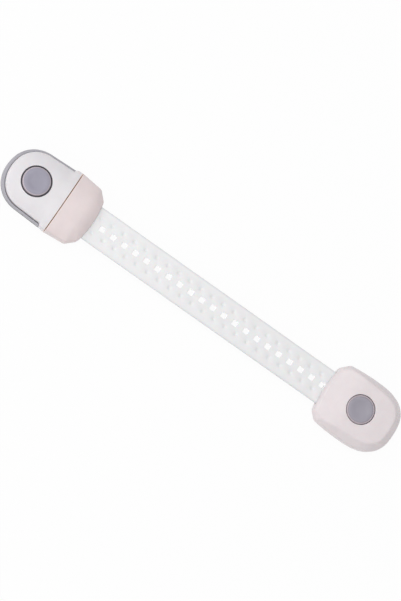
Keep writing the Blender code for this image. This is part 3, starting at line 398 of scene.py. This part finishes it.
def blend_in(value, start, end):
    """0 before the start, 1 past the end, straight between them."""
    return min(max((value - start) / (end - start), 0), 1)


def eased(value, start, end):
    """As blend_in, but with a soft start and end."""
    share = blend_in(value, start, end)
    return share * share * (3 - 2 * share)


def head_edge_z(x):
    return HEAD_EDGE_Z - CAP_DROP * blend_in(x, SEAM_X, CAP_FRONT_X) ** CAP_DROP_POWER


def head_bottom_z(x):
    return CHASSIS_Z + (BASE_Z - CHASSIS_Z) * blend_in(x, RIM_END_X + GAP, SEAM_X)


def loft(name, rings, spine, shares, roof_z, wall):
    """A shell whose rings go up the wall and then close in on a spine under the roof."""
    inner = rings[-1]
    rings = list(rings)
    for share in shares:
        ring = []
        for x, y, z in inner:
            near = min(max(x, spine[0]), spine[1])
            place = near + (x - near) * share
            ring.append((place, y * share, roof_z(place, y * share, share)))
        rings.append(ring)
    bm = bmesh.new()
    loops = [[bm.verts.new(point) for point in ring] for ring in rings]
    count = len(inner)
    for lower, upper in zip(loops, loops[1:]):
        for i in range(count):
            j = (i + 1) % count
            bm.faces.new((lower[i], lower[j], upper[j], upper[i]))
    bmesh.ops.remove_doubles(bm, verts=bm.verts, dist=0.00001)
    obj = mesh_object(name, bm)
    solid = obj.modifiers.new('wall', 'SOLIDIFY')
    solid.thickness = wall
    solid.offset = -1
    solid.use_even_offset = True
    return obj


def head_shell(name):
    outline = refined(head_outline(), LONGEST_EDGE)
    rings = [[(x, y, head_bottom_z(x)) for x, y in inset(outline, SOFT_FOOT)]]
    rings.append([(x, y, head_bottom_z(x) + SOFT_FOOT) for x, y in outline])
    for i in range(EDGE_STEPS + 1):
        angle = EDGE_TURN * i / EDGE_STEPS
        pull = EDGE_RADIUS * (1 - math.cos(angle))
        down = EDGE_RADIUS * (1 - math.sin(angle))
        rings.append([(x, y, head_edge_z(x) - down) for x, y in inset(outline, pull)])

    def roof(x, y, share):
        """The cap's roof is rounded where the solid's side and front meet in a crease."""
        ahead = max(x - RIDGE_END_X, 0) / (CAP_FRONT_X - EDGE_IN - RIDGE_END_X)
        aside = abs(y) / (HEAD_HALF_WIDTH - EDGE_IN)
        round_share = min((ahead ** CROWN_POWER + aside ** CROWN_POWER) ** (1 / CROWN_POWER), 1)
        rounding = blend_in(x, SEAM_X, RIDGE_END_X) * (1 - share ** 5)
        share += (round_share - share) * rounding
        return head_edge_z(x) - EDGE_DOWN + HEAD_CROWN * (1 - share ** CROWN_POWER)

    shares = (0.97, 0.93, 0.88, 0.82, 0.75, 0.67, 0.58, 0.48, 0.38, 0.28, 0.18, 0.09, 0)
    return loft(name, rings, (0, RIDGE_END_X), shares, roof, COVER_WALL)


def adjuster_drop(x):
    return ADJUSTER_DROP * blend_in(-x, DROP_START, ADJUSTER_FRONT) ** DROP_POWER


def adjuster_bevel(x):
    front = (FRONT_BEVEL - SIDE_BEVEL) * blend_in(-x, 0, ADJUSTER_FRONT)
    return SIDE_BEVEL + front + (REAR_BEVEL - SIDE_BEVEL) * blend_in(x, 0, ADJUSTER_REAR)


def adjuster_shell(name):
    outline = refined(adjuster_outline(), LONGEST_EDGE)
    profiles = []
    for (x, y), (x_in, y_in) in zip(outline, inset(outline, 1)):
        top = ADJUSTER_TOP - adjuster_drop(x)
        wall_z = min(ADJUSTER_TOP - BEVEL_HEIGHT, top - FRONT_BEVEL)
        width = adjuster_bevel(x)
        path = [(SOFT_FOOT, BASE_Z), (0, BASE_Z + SOFT_FOOT)]
        path += rounded_corner((0, BASE_Z), (0, wall_z), (width, top), BEVEL_FOOT_REACH)
        path += rounded_corner((0, wall_z), (width, top), (width * 3, top), BEVEL_HEAD_REACH)
        places = []
        for pull, z in path:
            place_x = x + (x_in - x) * pull
            above = z > wall_z + BEVEL_FOOT_REACH - 0.0001
            sag = (adjuster_drop(place_x) - adjuster_drop(x)) * above
            places.append((place_x, y + (y_in - y) * pull, z - sag))
        profiles.append(places)
    rings = [list(ring) for ring in zip(*profiles)]

    def roof(x, y, share):
        return ADJUSTER_TOP - adjuster_drop(x)

    shares = (0.94, 0.86, 0.77, 0.67, 0.57, 0.47, 0.37, 0.27, 0.17, 0.08, 0)
    obj = loft(name, rings, (-ADJUSTER_FRONT / 3, ADJUSTER_REAR / 3), shares, roof, COVER_WALL)
    obj.data.transform(Matrix.Translation((BUTTON_B_X, 0, 0)))
    return obj


def hole_cutter(name, radius, low, top, x):
    """Cuts a button's hole with a softened lip at the surface."""
    wide, above = radius + HOLE_LIP * 1.6, top + 0.004
    profile = [(0, above), (wide, above), (wide, top + 0.0001)]
    for i in range(5):
        angle = math.pi / 2 * i / 4
        profile.append((radius + HOLE_LIP * (1 - math.sin(angle)), top - HOLE_LIP * (1 - math.cos(angle))))
    profile += [(radius, low), (0, low)]
    return lathe(name, profile, x)


# Smaller skins

def tray_form(name):
    """Floor, rim with a rounded top and slanted ends, and the turned stud."""
    floor = prism('tray_floor', floor_outline(), BASE_Z, TRAY_TOP)
    inner_end_x = RIM_END_X - RIM_WALL
    outer = [(RIM_END_X, side_y(RIM_END_X))] + nose_arc(0, 0)
    inner = [(inner_end_x, side_y(inner_end_x, RIM_WALL))] + nose_arc(RIM_WALL, RIM_NOSE)
    outer += [(x, -y) for x, y in reversed(outer[:-1])]
    inner += [(x, -y) for x, y in reversed(inner[:-1])]
    path = [(0, BASE_Z + SINK), (0, RIM_TOP - 0.0003)]
    path += rounded_corner((0, BASE_Z), (0, RIM_TOP), (RIM_WALL, RIM_TOP), RIM_ROUND_OUT)
    path += rounded_corner((0, RIM_TOP), (RIM_WALL, RIM_TOP), (RIM_WALL, BASE_Z), RIM_ROUND_IN)
    path += [(RIM_WALL, TRAY_TOP - SINK)]
    shares = [(across / RIM_WALL, z) for across, z in path]
    sections = []
    for (x, y), (x_in, y_in) in zip(outer, inner):
        sections.append([(x + (x_in - x) * share, y + (y_in - y) * share, z) for share, z in shares])
    rim = swept('tray_rim', sections)
    shoulder, brim = (STUD_HEAD - STUD_CHAMFER, STUD_TOP), (STUD_HEAD, STUD_TOP - STUD_CHAMFER)
    profile = [(0, STUD_TOP)] + rounded_corner((0, STUD_TOP), shoulder, brim, 0.0003)
    profile += rounded_corner(shoulder, brim, (STUD_HEAD, STUD_HEAD_Z), 0.00025)
    profile += [(STUD_HEAD - 0.0001, STUD_HEAD_Z), (STUD_NECK, STUD_HEAD_Z)]
    profile += [(STUD_NECK, TRAY_TOP + STUD_FOOT), (STUD_NECK + 0.0001, TRAY_TOP + 0.00015)]
    profile += [(STUD_NECK + STUD_FOOT, TRAY_TOP - SINK), (0, TRAY_TOP - SINK)]
    return merged(name, floor, rim, lathe('stud', profile, steps=48))


def strap_top(x, y):
    """A broad low dome on each side of every hole, and a dimple where two domes meet."""
    place = (x - FIRST_HOLE_X) / HOLE_PITCH
    hole = min(max(round(place), 0), HOLE_COUNT - 1)
    meeting = min(max(math.floor(place), 0), HOLE_COUNT - 2) + 0.5
    aside = abs(y) - DOME_OFFSET
    rise = eased(math.hypot((place - hole) * HOLE_PITCH, aside), DOME_RADIUS, 0)
    dip = eased(math.hypot((place - meeting) * HOLE_PITCH, aside), DIMPLE_RADIUS, 0)
    return STRAP_TOP + DOME_HEIGHT * rise - DIMPLE_DEPTH * dip


def strap_section(x):
    """The strap's outline at one place along it: over the top, down a side, back under it and up again."""
    end = min(x - STRAP_START_X, STRAP_END_X - x)
    cut = max(STRAP_CORNER - end, 0)
    half = STRAP_HALF - STRAP_CORNER + math.sqrt(max(STRAP_CORNER ** 2 - cut ** 2, 0))
    squeeze = STRAP_SOFT * (1 - blend_in(end, 0, STRAP_SOFT)) ** 2
    flat = half - STRAP_SOFT
    side = []
    for i in (1, 2, 3):
        angle = math.pi / 2 * i / 3
        down = STRAP_SOFT * (1 - math.cos(angle)) + squeeze
        side.append((x, -flat - STRAP_SOFT * math.sin(angle), STRAP_TOP - down))
    for i in range(4):
        angle = math.pi / 2 * i / 3
        up = STRAP_SOFT * (1 - math.sin(angle)) + squeeze
        side.append((x, -flat - STRAP_SOFT * math.cos(angle), STRAP_Z + up))
    top = [flat * (1 - 2 * i / TOP_STEPS) for i in range(TOP_STEPS + 1)]
    section = [(x, y, strap_top(x, y) - squeeze) for y in top] + side
    section += [(x, flat * (i / 4 - 1), STRAP_Z + squeeze) for i in range(1, 8)]
    return section + [(x, -y, z) for x, y, z in reversed(side)]


def strap_form(name):
    """The band, with two more sections where each end is rounded, and its holes cut with softened mouths."""
    count = round((STRAP_END_X - STRAP_START_X) / STATION_STEP)
    stations = [STRAP_START_X + (STRAP_END_X - STRAP_START_X) * i / count for i in range(count + 1)]
    for short in (0.0001, 0.0003):
        stations += [STRAP_START_X + short, STRAP_END_X - short]
    strap = swept(name, [strap_section(x) for x in sorted(stations)])
    half = HOLE_SIZE / 2
    corners = [(half, -half), (half, half), (-half, half), (-half, -half)]
    ring = []
    for k in range(4):
        ring += fillet(corners[k - 1], corners[k], corners[(k + 1) % 4], HOLE_CORNER, 3)
    levels = [(0, STRAP_Z - 0.001)] + [(out, STRAP_TOP + z) for out, z in HOLE_MOUTH]
    cutters = []
    for i in range(HOLE_COUNT):
        x = FIRST_HOLE_X + HOLE_PITCH * i
        sections = []
        for out, z in levels:
            grow = 1 + out / half
            sections.append([(x + px * grow, py * grow, z) for px, py in ring])
        cutters.append(swept(f'strap_hole_{i}', sections))
    holes = merged('strap_holes', *cutters)
    baked(boolean(strap, holes, 'DIFFERENCE'))
    drop(holes)
    return strap


def button_form(name, radius, x, crown, ring_height):
    """A button with a top profile of its own, and under it the hollow boss that the solid has."""
    spots = [nodes[name].matrix_world @ vertex.co for vertex in nodes[name].data.vertices]
    top = max(spot.z for spot in spots)
    low = min(spot.z for spot in spots)
    high = low + ring_height + GAP
    profile = [(r, top + z) for r, z in crown]
    profile += [(radius, high + 0.0001), (radius - 0.0001, high), (BOSS_RADIUS, high)]
    profile += [(BOSS_RADIUS, low + BOSS_SOFT), (BOSS_RADIUS - BOSS_SOFT, low), (BOSS_BORE, low)]
    profile += [(BOSS_BORE, top - BUTTON_ROOF), (0, top - BUTTON_ROOF)]
    return lathe(name + '_skin', profile, x, steps=128)


# Materials

def linear(value):
    value /= 255
    return value / 12.92 if value <= 0.04045 else ((value + 0.055) / 1.055) ** 2.4


def rgb(red, green, blue):
    return (linear(red), linear(green), linear(blue))


class Paint:
    """One material, with short calls for the nodes that its look needs."""

    def __init__(self, name):
        self.material = bpy.data.materials.new(name)
        self.material.use_nodes = True
        self.tree = self.material.node_tree
        self.shader = self.tree.nodes['Principled BSDF']
        coordinates = self.tree.nodes.new('ShaderNodeTexCoord')
        self.place = coordinates.outputs['Object']

    def noise(self, scale, detail=2.0, roughness=0.5, stretch=None):
        place = self.place
        if stretch:
            mapping = self.tree.nodes.new('ShaderNodeMapping')
            mapping.inputs['Scale'].default_value = stretch
            self.tree.links.new(place, mapping.inputs['Vector'])
            place = mapping.outputs['Vector']
        node = self.tree.nodes.new('ShaderNodeTexNoise')
        node.inputs['Scale'].default_value = scale
        node.inputs['Detail'].default_value = detail
        node.inputs['Roughness'].default_value = roughness
        self.tree.links.new(place, node.inputs['Vector'])
        return node.outputs['Fac']

    def map(self, value, low, high, to_low, to_high):
        node = self.tree.nodes.new('ShaderNodeMapRange')
        node.interpolation_type = 'SMOOTHSTEP'
        node.inputs['From Min'].default_value = low
        node.inputs['From Max'].default_value = high
        node.inputs['To Min'].default_value = to_low
        node.inputs['To Max'].default_value = to_high
        self.tree.links.new(value, node.inputs['Value'])
        return node.outputs['Result']

    def mix(self, fac, one, two):
        node = self.tree.nodes.new('ShaderNodeMix')
        node.data_type = 'RGBA'
        self.put(fac, node.inputs[0])
        self.put(one, node.inputs[6])
        self.put(two, node.inputs[7])
        return node.outputs[2]

    def math(self, operation, one, two=0.0):
        node = self.tree.nodes.new('ShaderNodeMath')
        node.operation = operation
        self.put(one, node.inputs[0])
        self.put(two, node.inputs[1])
        return node.outputs[0]

    def put(self, value, socket):
        if isinstance(value, bpy.types.NodeSocket):
            self.tree.links.new(value, socket)
        elif isinstance(value, tuple) and len(value) == 3:
            socket.default_value = (*value, 1)
        else:
            socket.default_value = value

    def axis(self, name):
        node = self.tree.nodes.new('ShaderNodeSeparateXYZ')
        self.tree.links.new(self.place, node.inputs[0])
        return node.outputs[name]

    def pointiness(self):
        return self.tree.nodes.new('ShaderNodeNewGeometry').outputs['Pointiness']

    def bump(self, *layers):
        """Each layer is (height, strength, distance in metres)."""
        normal = None
        for height, strength, distance in layers:
            node = self.tree.nodes.new('ShaderNodeBump')
            node.inputs['Strength'].default_value = strength
            node.inputs['Distance'].default_value = distance
            self.tree.links.new(height, node.inputs['Height'])
            if normal:
                self.tree.links.new(normal, node.inputs['Normal'])
            normal = node.outputs['Normal']
        self.tree.links.new(normal, self.shader.inputs['Normal'])

    def set(self, **values):
        for name, value in values.items():
            self.put(value, self.shader.inputs[name.replace('_', ' ')])


def moulded(name, colour, roughness, shade=0.05, grain=0.000012, coat=0.0, subsurface=0.0):
    """Moulded plastic: faint flow mottling, handling haze, fine spark-eroded grain, and a painted highlight
    that makes convex edges paler.
    """
    paint = Paint(name)
    dark = tuple(c * (1 - shade) for c in colour)
    light = tuple(min(c * (1 + shade * 0.5), 0.93) for c in colour)
    base = paint.mix(paint.map(paint.noise(170, 3), 0.32, 0.68, 0, 1), dark, light)
    # Painted highlight: convex edges, found by their pointiness, turn paler.
    base = paint.mix(paint.map(paint.pointiness(), 0.52, 0.6, 0, 0.35), base, light)
    haze = paint.map(paint.noise(420, 4, 0.6), 0.3, 0.7, -0.05, 0.07)
    paint.set(Base_Color=base, Roughness=paint.math('ADD', haze, roughness), Specular_IOR_Level=0.45)
    paint.set(Coat_Weight=coat, Coat_Roughness=0.22, Subsurface_Weight=subsurface, Subsurface_Scale=0.0012)
    paint.bump((paint.noise(2600, 2), 0.35, grain), (paint.noise(260, 2), 0.25, grain * 4))
    return paint


def over(paint, fac, colour):
    """Lays a colour over a material's own."""
    socket = paint.shader.inputs['Base Color']
    base = socket.links[0].from_socket
    paint.tree.links.remove(socket.links[0])
    paint.set(Base_Color=paint.mix(fac, base, colour))


def steel(name, colour, roughness, stretch=(1, 1, 1), drawn=900):
    paint = Paint(name)
    lines = paint.noise(drawn, 3, 0.6, stretch)
    dark = tuple(c * 0.8 for c in colour)
    paint.set(Base_Color=paint.mix(paint.map(lines, 0.3, 0.7, 0, 1), dark, colour), Metallic=1.0)
    paint.set(Roughness=paint.map(paint.noise(500, 3), 0.3, 0.7, roughness - 0.06, roughness + 0.1))
    paint.bump((lines, 0.3, 0.000008))
    return paint


def radial(paint, x):
    """Distance from a button's axis, seen from above."""
    along = paint.math('SUBTRACT', paint.axis('X'), x)
    across = paint.axis('Y')
    squares = [paint.math('MULTIPLY', part, part) for part in (along, across)]
    return paint.math('SQRT', paint.math('ADD', *squares))


def dress(obj, paint):
    obj.data.materials.clear()
    obj.data.materials.append(paint.material)
    for polygon in obj.data.polygons:
        polygon.material_index = 0
    return obj


TONGUE = rgb(223, 220, 223)
CAP = rgb(226, 213, 213)
ADJUSTER = rgb(228, 219, 221)
GREY = rgb(169, 167, 174)
BUTTON_A = rgb(151, 148, 163)
BUTTON_B = rgb(157, 153, 164)
# Painted highlight for the buttons' rounded edges.
EDGE_HIGHLIGHT = rgb(196, 184, 190)
INNER = rgb(226, 225, 228)
# Painted shade for the seam between tongue and cap.
SEAM_SHADE = rgb(222, 188, 168)
STRAP = rgb(232, 232, 233)
# Painted shade for the strap's edges.
STRAP_EDGE_SHADE = rgb(223, 224, 226)
WORKS = rgb(92, 90, 100)
LEAF = rgb(232, 231, 224)

tongue_plastic = moulded('tongue_plastic', TONGUE, 0.34, 0.02, coat=0.15, subsurface=0.05)
cap_plastic = moulded('cap_plastic', CAP, 0.40, 0.025, coat=0.1, subsurface=0.05)
adjuster_plastic = moulded('adjuster_plastic', ADJUSTER, 0.38, 0.025, coat=0.12, subsurface=0.05)
rim_plastic = moulded('rim_plastic', GREY, 0.42, 0.05)
inner_plastic = moulded('inner_plastic', INNER, 0.5, 0.03)
works_plastic = moulded('works_plastic', WORKS, 0.45, 0.05)
leaf_plastic = moulded('leaf_plastic', LEAF, 0.36, 0.03, subsurface=0.1)
spring_steel = steel('spring_steel', (0.62, 0.62, 0.65), 0.24, (1, 1, 4))
screw_steel = steel('screw_steel', (0.58, 0.58, 0.60), 0.30, drawn=1600)
foam = Paint('adhesive_foam')
cells = foam.noise(1400, 3, 0.7)
foam_colour = foam.mix(foam.map(cells, 0.3, 0.7, 0, 1), rgb(212, 212, 214), rgb(236, 236, 238))
foam.set(Base_Color=foam_colour, Roughness=0.92)
foam.bump((cells, 0.6, 0.00006))


def button_material(name, colour, x, highlight_from, highlight_to):
    """Satin plastic, with a painted highlight on a ring along the button's rounded edge."""
    paint = moulded(name, colour, 0.38, 0.04, coat=0.1)
    # Painted highlight: a paler ring where the button's edge rounds over.
    over(paint, paint.map(radial(paint, x), highlight_from, highlight_to, 0, 0.85), EDGE_HIGHLIGHT)
    return paint


button_a_plastic = button_material('button_a_plastic', BUTTON_A, 0, 0.0057, 0.0060)
button_b_plastic = button_material('button_b_plastic', BUTTON_B, BUTTON_B_X, 0.0057, 0.0059)


def strap_material():
    """Pale flexible plastic, with painted shade along its edges and painted light that makes its holes' walls
    glow.
    """
    paint = moulded('strap_plastic', STRAP, 0.34, 0.015, coat=0.1, subsurface=0.1)
    out = paint.math('ABSOLUTE', paint.axis('Y'))
    # Painted shade: a darker band along both edges of the strap.
    over(paint, paint.map(out, STRAP_HALF - 0.0010, STRAP_HALF - 0.0005, 0, 1), STRAP_EDGE_SHADE)
    # Painted light: the upright walls near the middle line, which are the holes' walls, glow white.
    facing = paint.tree.nodes.new('ShaderNodeSeparateXYZ')
    paint.tree.links.new(paint.tree.nodes.new('ShaderNodeNewGeometry').outputs['Normal'], facing.inputs[0])
    upright = paint.map(paint.math('ABSOLUTE', facing.outputs['Z']), 0.9, 0.4, 0, 0.3)
    inside = paint.map(out, 0.0016, 0.002, 1, 0)
    paint.set(Emission_Color=(1.0, 1.0, 1.0), Emission_Strength=paint.math('MULTIPLY', upright, inside))
    return paint


strap_plastic = strap_material()

# Painted shade: a warm, darker tone on the walls either side of the seam, for the gap between tongue and cap.
for paint in (tongue_plastic, cap_plastic):
    seam = paint.math('ABSOLUTE', paint.math('SUBTRACT', paint.axis('X'), SEAM_MIDDLE))
    over(paint, paint.map(seam, 0.0002, 0.0004, 0.9, 0), SEAM_SHADE)

# The latch head

tray = dress(tray_form('tray_skin'), rim_plastic)
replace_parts(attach(tray, 'base_a'), 'base_tray')

cover = baked(head_shell('tongue_skin'))
cap = linked('cap_skin', cover.data.copy())
hole_a = hole_cutter('hole_a', BUTTON_A_HOLE, HOLE_A_LOW, HOLE_A_TOP, 0)
baked(boolean(cover, hole_a, 'DIFFERENCE'))
# The boxes that part the shell at the seam reach past it on every other side
start_x, end_x, side, over_top = -0.04, 0.06, HEAD_HALF_WIDTH * 2, 0.02
left = box_object('left_of_seam', (start_x, SEAM_MIDDLE - SEAM_GAP / 2), (-side, side), (0, over_top))
baked(boolean(cover, left, 'INTERSECT'))
right = box_object('right_of_seam', (SEAM_MIDDLE + SEAM_GAP / 2, end_x), (-side, side), (0, over_top))
baked(boolean(cap, right, 'INTERSECT'))
notch_x = SEAM_X + CAP_SIDE_LENGTH - CAP_CORNER
notch = box_object('notch', (notch_x, end_x), (-CHANNEL_HALF, CHANNEL_HALF), (0, NOTCH_TOP))
baked(boolean(cap, notch, 'DIFFERENCE'))
drop(left, right, hole_a, notch)
dress(cover, tongue_plastic)
dress(cap, cap_plastic)
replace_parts(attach(cover, 'latch_head'), 'latch_cover')
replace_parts(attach(cap, 'latch_head'), 'strap_cap')

# A shallow dish that the solid doesn't have, a flat and a soft edge, as (radius, height over the solid's top)
crown_a = [(0, -0.0003), (0.0018, -0.00029), (0.0026, -0.00025), (0.0032, -0.00018), (0.0038, -0.00008),
           (0.0043, -0.00002), (0.0048, 0), (0.00575, -0.00002), (0.00597, -0.00008), (0.00613, -0.0002),
           (0.00624, -0.0004), (BUTTON_A_RADIUS, -0.0006)]
form_a = button_form('release_button', BUTTON_A_RADIUS, 0, crown_a, RING_A)
button_a = dress(form_a, button_a_plastic)
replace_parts(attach(button_a, 'button_a'), 'release_button')

strap = dress(strap_form('strap_skin'), strap_plastic)
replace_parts(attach(strap, 'latch_head'), 'strap')

# The adjuster head

adjuster = baked(adjuster_shell('adjuster_skin'))
hole_b = hole_cutter('hole_b', BUTTON_B_HOLE, HOLE_B_LOW, ADJUSTER_TOP, BUTTON_B_X)
baked(boolean(adjuster, hole_b, 'DIFFERENCE'))
slot_x = (BUTTON_B_X - 0.04, BUTTON_B_X + 0.04)
slot = box_object('slot_b', slot_x, (-CHANNEL_HALF, CHANNEL_HALF), (STRAP_Z - GAP, NOTCH_TOP))
baked(boolean(adjuster, slot, 'DIFFERENCE'))
drop(hole_b, slot)
dress(adjuster, adjuster_plastic)
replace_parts(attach(adjuster, 'adjuster'), 'adjuster_cover')

# A shallow dish, a flat with a fine groove round it and a soft edge, as for the other button
crown_b = [(0, -0.00035), (0.0016, -0.00034), (0.0024, -0.00029), (0.0031, -0.0002), (0.0038, -0.00008),
           (0.0044, -0.00002), (0.0049, 0), (0.0053, 0), (0.00565, 0), (0.00572, -0.00005),
           (0.00578, -0.00018), (0.00584, -0.00018), (0.0059, -0.00005), (0.0060, 0), (0.00612, -0.00005),
           (0.00622, -0.00018), (BUTTON_B_RADIUS, -0.0004)]
form_b = button_form('adjuster_button', BUTTON_B_RADIUS, BUTTON_B_X, crown_b, RING_B)
button_b = dress(form_b, button_b_plastic)
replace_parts(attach(button_b, 'button_b'), 'adjuster_button')

# The coil springs, each a copy of its solid with a mesh of its own

for node, body, joint, travel in (
    ('release_spring', 'latch_head', 'button_a_press', BUTTON_A_TRAVEL),
    ('adjuster_spring', 'adjuster', 'button_b_press', BUTTON_B_TRAVEL),
):
    spring = linked(node + '_skin', nodes[node].data.copy())
    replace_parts(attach(dress(spring, spring_steel), body), node)
    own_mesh(spring)

# The other pieces keep their solids

for name, paint in (
    ('adhesive_pad_a', foam), ('adhesive_pad_b', foam),
    ('latch_chassis', inner_plastic), ('clip_keeper', inner_plastic), ('adjuster_base', inner_plastic),
    ('strap_guide', inner_plastic), ('release_plunger', works_plastic), ('press_yoke', works_plastic),
    ('catch_clip', spring_steel),
    ('keeper_screw_1', screw_steel), ('keeper_screw_2', screw_steel), ('housing_screw_1', screw_steel),
    ('housing_screw_2', screw_steel), ('housing_screw_3', screw_steel), ('housing_screw_4', screw_steel),
    ('lock_leaf', leaf_plastic),
):
    dress(nodes[name], paint)

# Floor, light and camera

SKY = 0.53
FLOOR_SIZE, FLOOR_Z = 4, -0.0002
FLOOR_GLOW = 0.95            # how much of the floor is plain white where it is looked at

floor_paint = Paint('floor')
floor_paint.set(Base_Color=(0.82, 0.82, 0.82), Roughness=0.9, Specular_IOR_Level=0.1)
tree = floor_paint.tree
rays = tree.nodes.new('ShaderNodeLightPath').outputs
mirrored = floor_paint.math('MAXIMUM', rays['Is Glossy Ray'], rays['Is Transmission Ray'])
seen = floor_paint.math('MAXIMUM', rays['Is Camera Ray'], mirrored)
glow = tree.nodes.new('ShaderNodeEmission')
glow.inputs['Strength'].default_value = 1.0
blend = tree.nodes.new('ShaderNodeMixShader')
floor_paint.put(floor_paint.math('MULTIPLY', seen, FLOOR_GLOW), blend.inputs[0])
tree.links.new(floor_paint.shader.outputs[0], blend.inputs[1])
tree.links.new(glow.outputs[0], blend.inputs[2])
tree.links.new(blend.outputs[0], tree.nodes['Material Output'].inputs['Surface'])
bm = bmesh.new()
down = Matrix.Translation((0, 0, FLOOR_Z))
bmesh.ops.create_grid(bm, x_segments=1, y_segments=1, size=FLOOR_SIZE, matrix=down)
floor = dress(mesh_object('floor', bm), floor_paint)

world = bpy.data.worlds.new('studio')
bpy.context.scene.world = world
world.use_nodes = True
background = world.node_tree.nodes['Background']
background.inputs['Color'].default_value = (1, 1, 1, 1)
background.inputs['Strength'].default_value = SKY

MIDDLE = Vector((0.09, 0, 0))


def softbox(name, place, size, power):
    """A square light that faces the middle of the lock."""
    data = bpy.data.lights.new(name, 'AREA')
    data.shape = 'RECTANGLE'
    data.size = data.size_y = size
    data.energy = power
    lamp = linked(name, data)
    lamp.location = place
    lamp.rotation_euler = (Vector(place) - MIDDLE).to_track_quat('Z', 'Y').to_euler()


softbox('overhead', (-0.03, 0.06, 0.9), 0.7, 2.85)
softbox('side', (-0.2, -0.6, 0.45), 0.5, 1.2)
softbox('end', (-0.6, 0, 0.35), 0.4, 1.1)

# The camera looks down with a slight tilt, as in the photo. FOCAL is in pixels of the photo's longer side.
TILT_X, TILT_Y, ROLL, DISTANCE, FOCAL = -7.19, -11.53, 33.761, 1.1, 2491.1
PHOTO_HEIGHT, SENSOR = 601, 36
TARGET = Vector((0.0894, -0.0005, 0.005))
back = Vector((math.tan(math.radians(TILT_X)), math.tan(math.radians(TILT_Y)), 1)).normalized()
right_way = Vector((0, 1, 0)).cross(back).normalized()
up_way = back.cross(right_way)
roll = math.radians(ROLL)
across = right_way * math.cos(roll) + up_way * math.sin(roll)
upward = up_way * math.cos(roll) - right_way * math.sin(roll)
camera_data = bpy.data.cameras.new('camera')
camera_data.sensor_width = SENSOR
camera_data.lens = FOCAL * SENSOR / PHOTO_HEIGHT
camera_data.clip_start = 0.05
camera = linked('camera', camera_data)
place = TARGET + back * DISTANCE
camera.matrix_world = Matrix((
    (across.x, upward.x, back.x, place.x),
    (across.y, upward.y, back.y, place.y),
    (across.z, upward.z, back.z, place.z),
    (0, 0, 0, 1)))
bpy.context.scene.camera = camera
bpy.context.scene.view_settings.view_transform = 'Standard'
